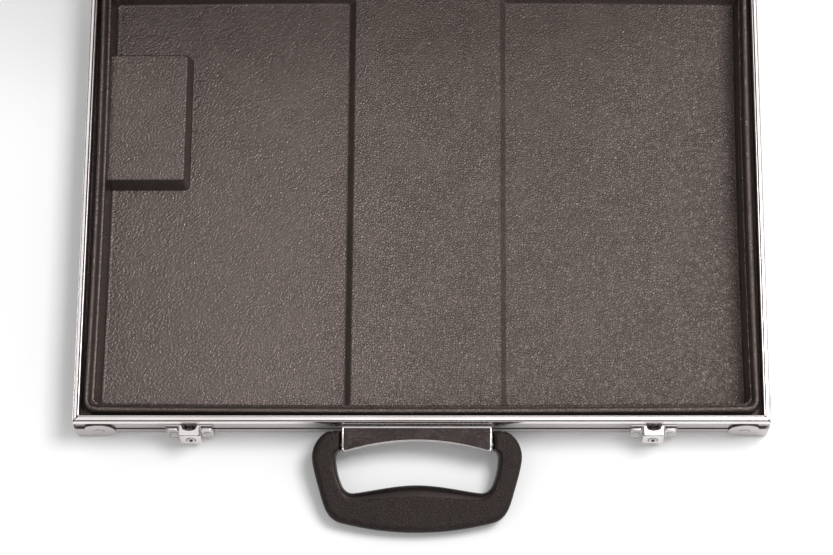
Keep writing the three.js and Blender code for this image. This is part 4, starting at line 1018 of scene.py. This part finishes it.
def bracket_outline(inward, tuck=0.0, rim=0.0):
    """Straight at the back, square at the sides, an arch in front that may be tucked back.

    The rim leaves more of the bright edge showing at the back."""
    half, ends, middle = BRACKET_HALF - inward, ARCH_ENDS + inward + tuck, ARCH_MIDDLE + inward + tuck
    control = 2 * middle - ends
    arch = []
    for i in range(1, ARCH_STEPS):
        t = i / ARCH_STEPS
        arch.append((half - 2 * half * t, ends + 2 * t * (1 - t) * (control - ends), 0))
    back = SEAT - inward - rim
    return soften([(-half, back, 0.5), (half, back, 0.5), (half, ends, 2.2), *arch, (-half, ends, 2.2)])


def bracket_skin():
    """Rings of (inward, height, tuck) from the hollow inside over the rim to the inlay's seat."""
    steps = [(1.6, 23.4, 0), (1.6, 21.8, 0), (1.6, BRACKET_UNDER, 4.2), (0.5, BRACKET_UNDER, 4.2),
             (0, BRACKET_UNDER + 0.4, 4), (0, 21.6, 0), (0, BRACKET_TOP - 0.7, 0),
             (0.12, BRACKET_TOP - 0.3, 0), (0.35, BRACKET_TOP - 0.05, 0)]
    rings = [bracket_outline(d, tuck) for d, _, tuck in steps]
    crest = [(0.55, BRACKET_TOP), (0.75, BRACKET_TOP - 0.1), (0.85, BRACKET_TOP - 0.6)]
    rings += [bracket_outline(d, 0, BACK_RIM) for d, _ in crest]
    heights = [z for _, z, _ in steps] + [z for _, z in crest]
    return loft([upright(ring, "Z", z) for ring, z in zip(rings, heights)])


def rivet_head(x, z, face, radius=2.6, height=0.9):
    """A low dome on a surface at y = face, pointing to -y."""
    dome = [(radius * math.sin(a), face - height * math.cos(a)) for a in (0, 0.35, 0.7, 1.05, 1.35, 1.57)]
    return turned([*dome, (radius * 0.5, face + 0.4)], "Y", (x, 0, z), 24)


def shank(x, z, face):
    return turned([(RIVET_R, face), (RIVET_R, SHANK_END)], "Y", (x, 0, z), 16)


def riveted_plate(half_w, z0, z1, rivets, head_face):
    """A flat bar behind the rail with the rivets that go through the rail to the outside."""
    plate = slab(round_rect(-half_w, half_w, z0, z1, 1.2, 3), "Y", BACKING_FRONT, BACKING_BACK, 0.3)
    shanks = [shank(x, z, head_face) for x, z in rivets]
    return gather(plate, *shanks, *[rivet_head(x, z, head_face - 0.1) for x, z in rivets])


make_piece("bracket_cover", bracket_skin(), chrome, "base", BRACKET, ["handle_bracket"])
inlay = loft([upright(bracket_outline(d, 0, BACK_RIM), "Z", z) for d, z in
              ((0.95, 24.2), (0.95, 24.6), (1.1, 24.75), (1.5, 24.8))])
make_piece("bracket_inlay", inlay, lacquer, "base", BRACKET)
fine("handle_backing", riveted_plate(44.3, 10, 22, [(-30, 16), (30, 16)], -1.2), zinc, "base", BRACKET)
handle_pin = turned([(2.7, 43.8), (3.2, 44.3), (3.2, 45.9), (2.7, 46.4), (2, 46.4), (2, 55.4), (1.6, 55.8)],
                    "X", (0, -PIVOT_OUT, PIVOT_Z))
for side, sign in (("left", -1), ("right", 1)):
    fine(f"handle_pin_{side}", handle_pin, zinc, "base", BRACKET @ Matrix.Diagonal((sign, 1, 1, 1)))
print("Bracket ready")

# %% [markdown]
# ## The latches
# A latch is a stamped and plated housing with two embossed pads, a hollow centre body with a mouth for the
# lid's catch, and a lever that pivots inside it. The key plug sits in the lever's flap.
# Stamped parts are easiest to make as a stamper would: join plain blanks, punch the openings, then
# round every edge that is left. The round edges are what gives chrome its bright and dark lines.

# %% Latch parts about their own axes
LATCH_X = 150
LEVER_OUT, LEVER_Z, LEVER_OPEN, FLAP_LEAN = 3.2, 19, -14, 4
FLAP_FACE, FLAP_TOP, FLAP_H = 1.9, 2.4, 9.9
BODY_UNDER = 18.4


def rect(x0, x1, z0, z1, radius=0.5, steps=3):
    return round_rect(x0, x1, z0, z1, radius, steps)


def turned_by(skin, degrees, axis):
    verts, faces = skin
    turn = spun(degrees, axis)
    return [tuple(turn @ Vector(v)) for v in verts], faces


def latch_housing():
    adds = [slab(rect(-14.8, 14.8, 4.6, HARDWARE_TOP, 0.8), "Y", PLATE_FACE, SEAT)]
    cuts = []
    for sign in (-1, 1):
        x0, x1 = sorted((7.3 * sign, 14.8 * sign))
        brow = [(SEAT - 0.1, 20), (-2.0, 20), (-2.0, 26.0), (-0.9, HARDWARE_TOP), (SEAT - 0.1, HARDWARE_TOP)]
        adds.append(slab(brow, "X", x0, x1))
        adds.append(slab(rect(x0 + 0.15, x1 - 0.15, 4.6, 24.9, 1.6), "Y", -2.7, SEAT - 0.1))
        crown = [(x0 + 1.1 + (x1 - x0 - 2.2) * i / 8, 19.8 + 2.6 * math.sin(math.pi * i / 8))
                 for i in range(9)]
        cuts.append(slab([(x0 + 1.1, 6.4), (x1 - 1.1, 6.4), *crown[::-1]], "Y", -3.5, -2.1))
    body = [(-4.2, BODY_UNDER), (-6.6, 26), (-6.9, 26.5), (-6.9, HARDWARE_TOP)]
    adds.append(loft([upright([(-6.2, SEAT - 0.1), (-6.2, out), (6.2, out), (6.2, SEAT - 0.1)], "Z", z)
                      for out, z in body]))
    scoop = [(-4.6 * math.cos(a), -2.1 - 1.9 * math.sin(a)) for a in np.linspace(0, math.pi, 13)]
    cuts += [slab([(-5.5, 0.6), *scoop, (5.5, 0.6)], "Z", 23.8, 28),
             slab(rect(-4.6, 4.6, -5.4, PLATE_FACE, 0.3), "Z", 16.4, 24.9),
             slab(rect(-3, 3, 17.4, 26.2, 0.3), "Y", -1.5, 1.4)]
    return carve(adds, cuts, 0.22, 2)


def latch_lever():
    hub = turned([(1.5, -4.7), (1.7, -4.5), (1.7, 4.5), (1.5, 4.7)], "X", (0, 0, 0), 24)
    neck = slab(rect(-4.5, 4.5, -3.4, 0, 0.2), "Y", -FLAP_FACE, 0.3)
    flap_outline = soften([(-6.8, -1.0, 0.4), (6.8, -1.0, 0.4), (6.7, -12.3, 1.4), (-6.7, -12.3, 1.4)])
    flap = slab(flap_outline, "Y", -FLAP_FACE, 0.3)
    bore = turned([(3.4, -4), (3.4, 4)], "Y", (0, 0, -FLAP_TOP - FLAP_H / 2))
    lower = turned_by(carve([neck, flap], [bore], 0), FLAP_LEAN, "X")
    stem = slab(rect(-2, 2, 0, 5.8, 0.3), "Y", 0.9, 1.9)
    hook = slab(rect(-2, 2, 4.2, 5.8, 0.3), "Y", -0.2, 1.9)
    return carve([hub, lower, stem, hook], (), 0.25, 2)


def key_plug():
    body = turned([(2.2, -0.02), (2.75, 0.05), (3, 0.3), (3, 2.8), (3.9, 2.8), (3.9, 3.5), (3.5, 3.55)],
                  "Y", (0, 0, 0), 40)
    keyway = slab([(-0.5, -2.1), (0.5, -2.1), (1.25, 0), (0.5, 2.1), (-0.5, 2.1), (-1.25, 0)],
                  "Y", -1, 2.2)
    return carve([body], [keyway], 0.08, 1)


# %% Fit both latches
housing, lever, plug_skin = latch_housing(), latch_lever(), key_plug()
# Painted shade in the latch mouth, on the lever above its axis and on the keyway's walls
inside = painted_shade_where(housing, lambda x, y, z: abs(x) < 5 and z < 26 and -5.6 < y, 0.9)
above_axis = painted_shade_where(lever, lambda x, y, z: z > -0.5, 0.95)
slot_walls = painted_shade_where(plug_skin, lambda x, y, z: abs(x) < 1.4 and abs(z) < 2.2 and 0.3 < y < 3)
latch_backing = riveted_plate(14.8, 8, 25, [(-10.9, 13), (10.9, 13)], -1.9)
lever_pin = turned([(0.5, -6.0), (0.7, -5.8), (0.7, 5.8), (0.5, 6.0)], "X", (0, -LEVER_OUT, LEVER_Z), 20)
for side, x in (("left", -LATCH_X), ("right", LATCH_X)):
    at = FRONT @ moved(x, 0, 0)
    swing = at @ moved(0, -LEVER_OUT, LEVER_Z) @ spun(LEVER_OPEN, "X")
    plug = swing @ spun(FLAP_LEAN, "X") @ moved(0, -FLAP_FACE - 0.35, -FLAP_TOP - FLAP_H / 2)
    fine(f"latch_{side}_housing", housing, chrome, "base", at, inside)
    fine(f"latch_{side}_backing", latch_backing, zinc, "base", at)
    fine(f"latch_{side}_lever_pin", lever_pin, zinc, "base", at)
    fine(f"latch_{side}_lever", lever, chrome, f"{side}_lever", swing, above_axis)
    fine(f"latch_{side}_key_plug", plug_skin, nickel, f"{side}_key", plug, slot_walls)
print("Latches fitted")

# %% [markdown]
# ## The lid's catches
# Each catch is a plate riveted to the lid's front rail, with a jog and a windowed tongue that drops into
# the latch's mouth when the lid is shut. It is drawn in its shut place and then carried up with the lid.

# %% Catches
foot_z = PARTING_Z + 2.2
plate = slab(rect(-8, 8, foot_z, foot_z + 17, 2.4, 5), "Y", -1.5, -0.3)
jog = slab(rect(-3.3, 3.3, foot_z, foot_z + 2.2, 0.3), "Y", -3.5, -0.4)
tongue = slab(rect(-2.9, 2.9, 21.4, foot_z + 2.1, 0.8), "Y", -3.4, -2.5)
window = slab(rect(-2.2, 2.2, 22.6, 25.4, 0.4), "Y", -5, -1.6)
catch = carve([plate, jog, tongue], [window], 0.25, 2)
catch_backing = riveted_plate(10, foot_z + 7.5, foot_z + 17.5,
                              [(-5, foot_z + 12.5), (5, foot_z + 12.5)], -1.5)
for side, x in (("left", -LATCH_X), ("right", LATCH_X)):
    at = LID_SHUT @ FRONT @ moved(x, 0, 0)
    fine(f"catch_{side}", catch, chrome, "lid", at)
    fine(f"catch_{side}_backing", catch_backing, zinc, "lid", at)
print("Catches fitted")

# %% [markdown]
# ## Corner plates
# A corner plate is one strip of sheet, bent round the corner: two rounded wings, a lower neck on the bend,
# a narrow tab along the bottom and a dimple for each rivet. The strip is a loft along its own path. At each
# place on the path a ring runs up the outer face and down the inner one, and the ring's height follows
# the plate's outline.

# %% The bent strip
PLATE_T, PLATE_LEN, PEAK_IN, NECK_IN, BEND_R = 1.2, 26, 15.5, 6.5, 2.5
PLATE_LOW, NECK_TOP, TAB_LOW, TAB_END = 0.9, 18.5, 0.25, 18
RIVET_IN, RIVET_Z = 15.5, 14.05
DIMPLE_R, DIMPLE_DEEP = 3.1, 0.62


def plate_limits(reach):
    """The lower and upper edge of a wing at a distance from the corner."""
    middle, half = (HARDWARE_TOP + PLATE_LOW) / 2, (HARDWARE_TOP - PLATE_LOW) / 2
    round_off = math.sqrt(max(0.0, 1 - max(0.0, (reach - PEAK_IN) / (PLATE_LEN - PEAK_IN)) ** 2))
    top = middle + half * round_off
    if reach < PEAK_IN:
        fall = min(1.0, (PEAK_IN - reach) / (PEAK_IN - NECK_IN))
        top = NECK_TOP + (HARDWARE_TOP - NECK_TOP) * math.sqrt(1 - fall ** 2)
    low = TAB_LOW if reach < TAB_END else middle - half * round_off
    return min(low, middle - 0.4), max(top, middle + 0.4)


def corner_plate():
    """Rings along the strip, from the tip of one wing round the bend to the tip of the other."""
    reaches = [26, 25.95, 25.75, 25.3, 24.6, 23.6, 22.4, 21, 19.6, 18.5, 18.05, 17.95, 17.3, 16.6, 15.9, 15.2,
               14.5, 13.8, 13.1, 12.4, 11.5, 10.4, 9.3, 8.4, 7.6, 7.1, 6.8, 6.6, 6.5, 5, 3.8, 2.6]
    wing = [(reach, PLATE_FACE, 0, -1, reach) for reach in reaches]
    bend = PLATE_FACE + BEND_R
    turn = [(bend + BEND_R * math.cos(a), bend + BEND_R * math.sin(a), math.cos(a), math.sin(a), 0.6)
            for a in np.radians([270, 252, 234, 225])]
    half_path = wing + turn[:-1]
    path = half_path + turn[-1:]
    path += [(y, x, ny, nx, reach) for x, y, nx, ny, reach in half_path[::-1]]
    rings, painted_dark = [], []
    for x, y, nx, ny, reach in path:
        low, top = plate_limits(reach)
        border = min(0.35, (top - low) * 0.3)
        outer = [(0.3, low), (0.08, low + border * 0.45), (0, low + border)]
        steps = 22
        outer += [(0, low + border + (top - low - 2 * border) * i / steps) for i in range(1, steps)]
        outer += [(0, top - border), (0.08, top - border * 0.45), (0.3, top)]
        ring = []
        for deep, z in outer:
            from_rivet = math.hypot(reach - RIVET_IN, z - RIVET_Z) / DIMPLE_R
            dip = DIMPLE_DEEP * (0.5 + 0.5 * math.cos(math.pi * min(1.0, from_rivet ** 2)))
            ring.append((x - nx * (deep + dip), y - ny * (deep + dip), z))
            # Painted shade in the upper part of each dimple, and a painted shadow line along the top edges
            in_shade = 0.35 < from_rivet < 1.1 and z > RIVET_Z - 0.3
            painted_dark.append(0.8 if z > top - 0.01 else 1.0 if in_shade else 0.0)
        ring += [(x - nx * PLATE_T, y - ny * PLATE_T, z) for z in (top, (top + low) / 2, low)]
        painted_dark += [0.8, 0, 0]
        rings.append(ring)
    return loft(rings), {"dirt_and_painted_shade": painted_dark}


def corner_brace():
    """The angle inside the corner, with the two rivets that hold the plate outside."""
    near, far = BACKING_FRONT, BACKING_BACK
    outline = [(near, near), (22, near), (22, far), (far, far), (far, 22), (near, 22)]
    angle = slab(outline, "Z", 8, 25, 0.2)
    face = PLATE_FACE + 0.35
    front = gather(shank(RIVET_IN, RIVET_Z, face), rivet_head(RIVET_IN, RIVET_Z, face, 2.3, 0.8))
    verts, faces = front
    side = ([(y, x, z) for x, y, z in verts], faces)
    return gather(angle, front, side)


(plate_skin, plate_shade), brace_skin = corner_plate(), corner_brace()
for half, place, named in HALVES:
    for corner, at in CORNERS.items():
        fine(f"{half}_corner_plate_{named(corner)}", plate_skin, nickel, half, place @ at, plate_shade)
        fine(f"{half}_corner_brace_{named(corner)}", brace_skin, zinc, half, place @ at)
print("Corner plates:", len(plate_skin[0]), "points each")

# %% [markdown]
# ## Hinges, feet and boards
# The rest is plain hardware. A hinge is two leaves whose knuckles take turns on one pin. The rubber feet are
# turned on a lathe's axis, with a barb that snaps into the back rail. The boards are laminated panels with
# a thin tongue all round that slides into the rails' slots.

# %% Hinges
HINGE_X, HINGE_HALF_W, KNUCKLE_R = 130, 20, 2.4
LID_KNUCKLE_HALF, KNUCKLE_GAP = 7.6, 0.4


def hinge_leaf(spans):
    """A leaf below its axis, with a knuckle for each span."""
    adds = [slab(rect(-HINGE_HALF_W, HINGE_HALF_W, -18, -2.8, 2, 4), "Y", -2.9, -1.7)]
    for x0, x1 in spans:
        adds.append(turned([(KNUCKLE_R - 0.25, x0), (KNUCKLE_R, x0 + 0.25), (KNUCKLE_R, x1 - 0.25),
                            (KNUCKLE_R - 0.25, x1)], "X", (0, 0, 0), 32))
        adds.append(slab(rect(x0 + 0.1, x1 - 0.1, -3.8, -0.3, 0.1), "Y", -2.9, -1.7))
    bore = turned([(1.45, -21), (1.45, 21)], "X", (0, 0, 0), 24)
    return carve(adds, [bore], 0.2, 2)


gap_end = LID_KNUCKLE_HALF + KNUCKLE_GAP
outer_spans = [(-HINGE_HALF_W, -gap_end), (gap_end, HINGE_HALF_W)]
base_leaf, lid_leaf = hinge_leaf(outer_spans), hinge_leaf([(-LID_KNUCKLE_HALF, LID_KNUCKLE_HALF)])
hinge_pin = turned([(0.9, -19.7), (1.2, -19.4), (1.2, 19.4), (0.9, 19.7)], "X", (0, 0, 0), 24)
for side, x in (("left", -HINGE_X), ("right", HINGE_X)):
    at = moved(x, HINGE_Y, PARTING_Z)
    fine(f"hinge_{side}_base_leaf", base_leaf, nickel, "base", at)
    fine(f"hinge_{side}_lid_leaf", lid_leaf, nickel, "lid", LID_SHUT @ at @ spun(180, "Y"))
    fine(f"hinge_{side}_pin", hinge_pin, zinc, "base", at)

strip_z = PARTING_Z - 12
strip_rivets = [(x + offset, strip_z) for x in (-HINGE_X, HINGE_X) for offset in (-12, 12)]
strip = riveted_plate(HINGE_X + 20, strip_z - 6, strip_z + 6, strip_rivets, -1.5)
for half, place, named in HALVES:
    fine(f"{half}_hinge_strip", strip, zinc, half, place @ SIDES["back"][1])

# %% Feet
FOOT_X, FOOT_Z = 178, 14
foot = turned([(3.2, -8.3), (3.6, -8.6), (4.9, -8.6), (5.4, -8.3), (5.6, -7.7), (6.5, -3), (6.9, -0.1),
               (6.8, SEAT), (2, SEAT), (2, 2.7), (2.9, 2.75), (2.1, 4.05), (1.4, 4.1)], "Y", (0, 0, 0), 40)
for half, place, named in HALVES:
    for side, x in (("left", -FOOT_X), ("right", FOOT_X)):
        fine(f"{half}_foot_{named(side)}", foot, rubber, half,
             place @ moved(x, CASE_D / 2, FOOT_Z) @ spun(180, "Z"))

# %% Boards
def board():
    """The field lies flush outside and the tongue runs in the slot: one loft from outside to inside."""
    steps = [(9.6, 0.02), (8.9, 0.3), (8.6, 0.9), (8.6, 2.3), (3.2, 2.3), (3.0, 2.5), (3.0, 3.9), (3.2, 4.1)]
    return loft([upright(rect(-CASE_W / 2 + d, CASE_W / 2 - d, -CASE_D / 2 + d, CASE_D / 2 - d,
                              4 if d > 5 else 0.3, 6), "Z", z) for d, z in steps])


for half, place, named in HALVES:
    fine(f"{half}_panel", board(), laminate, half, place)
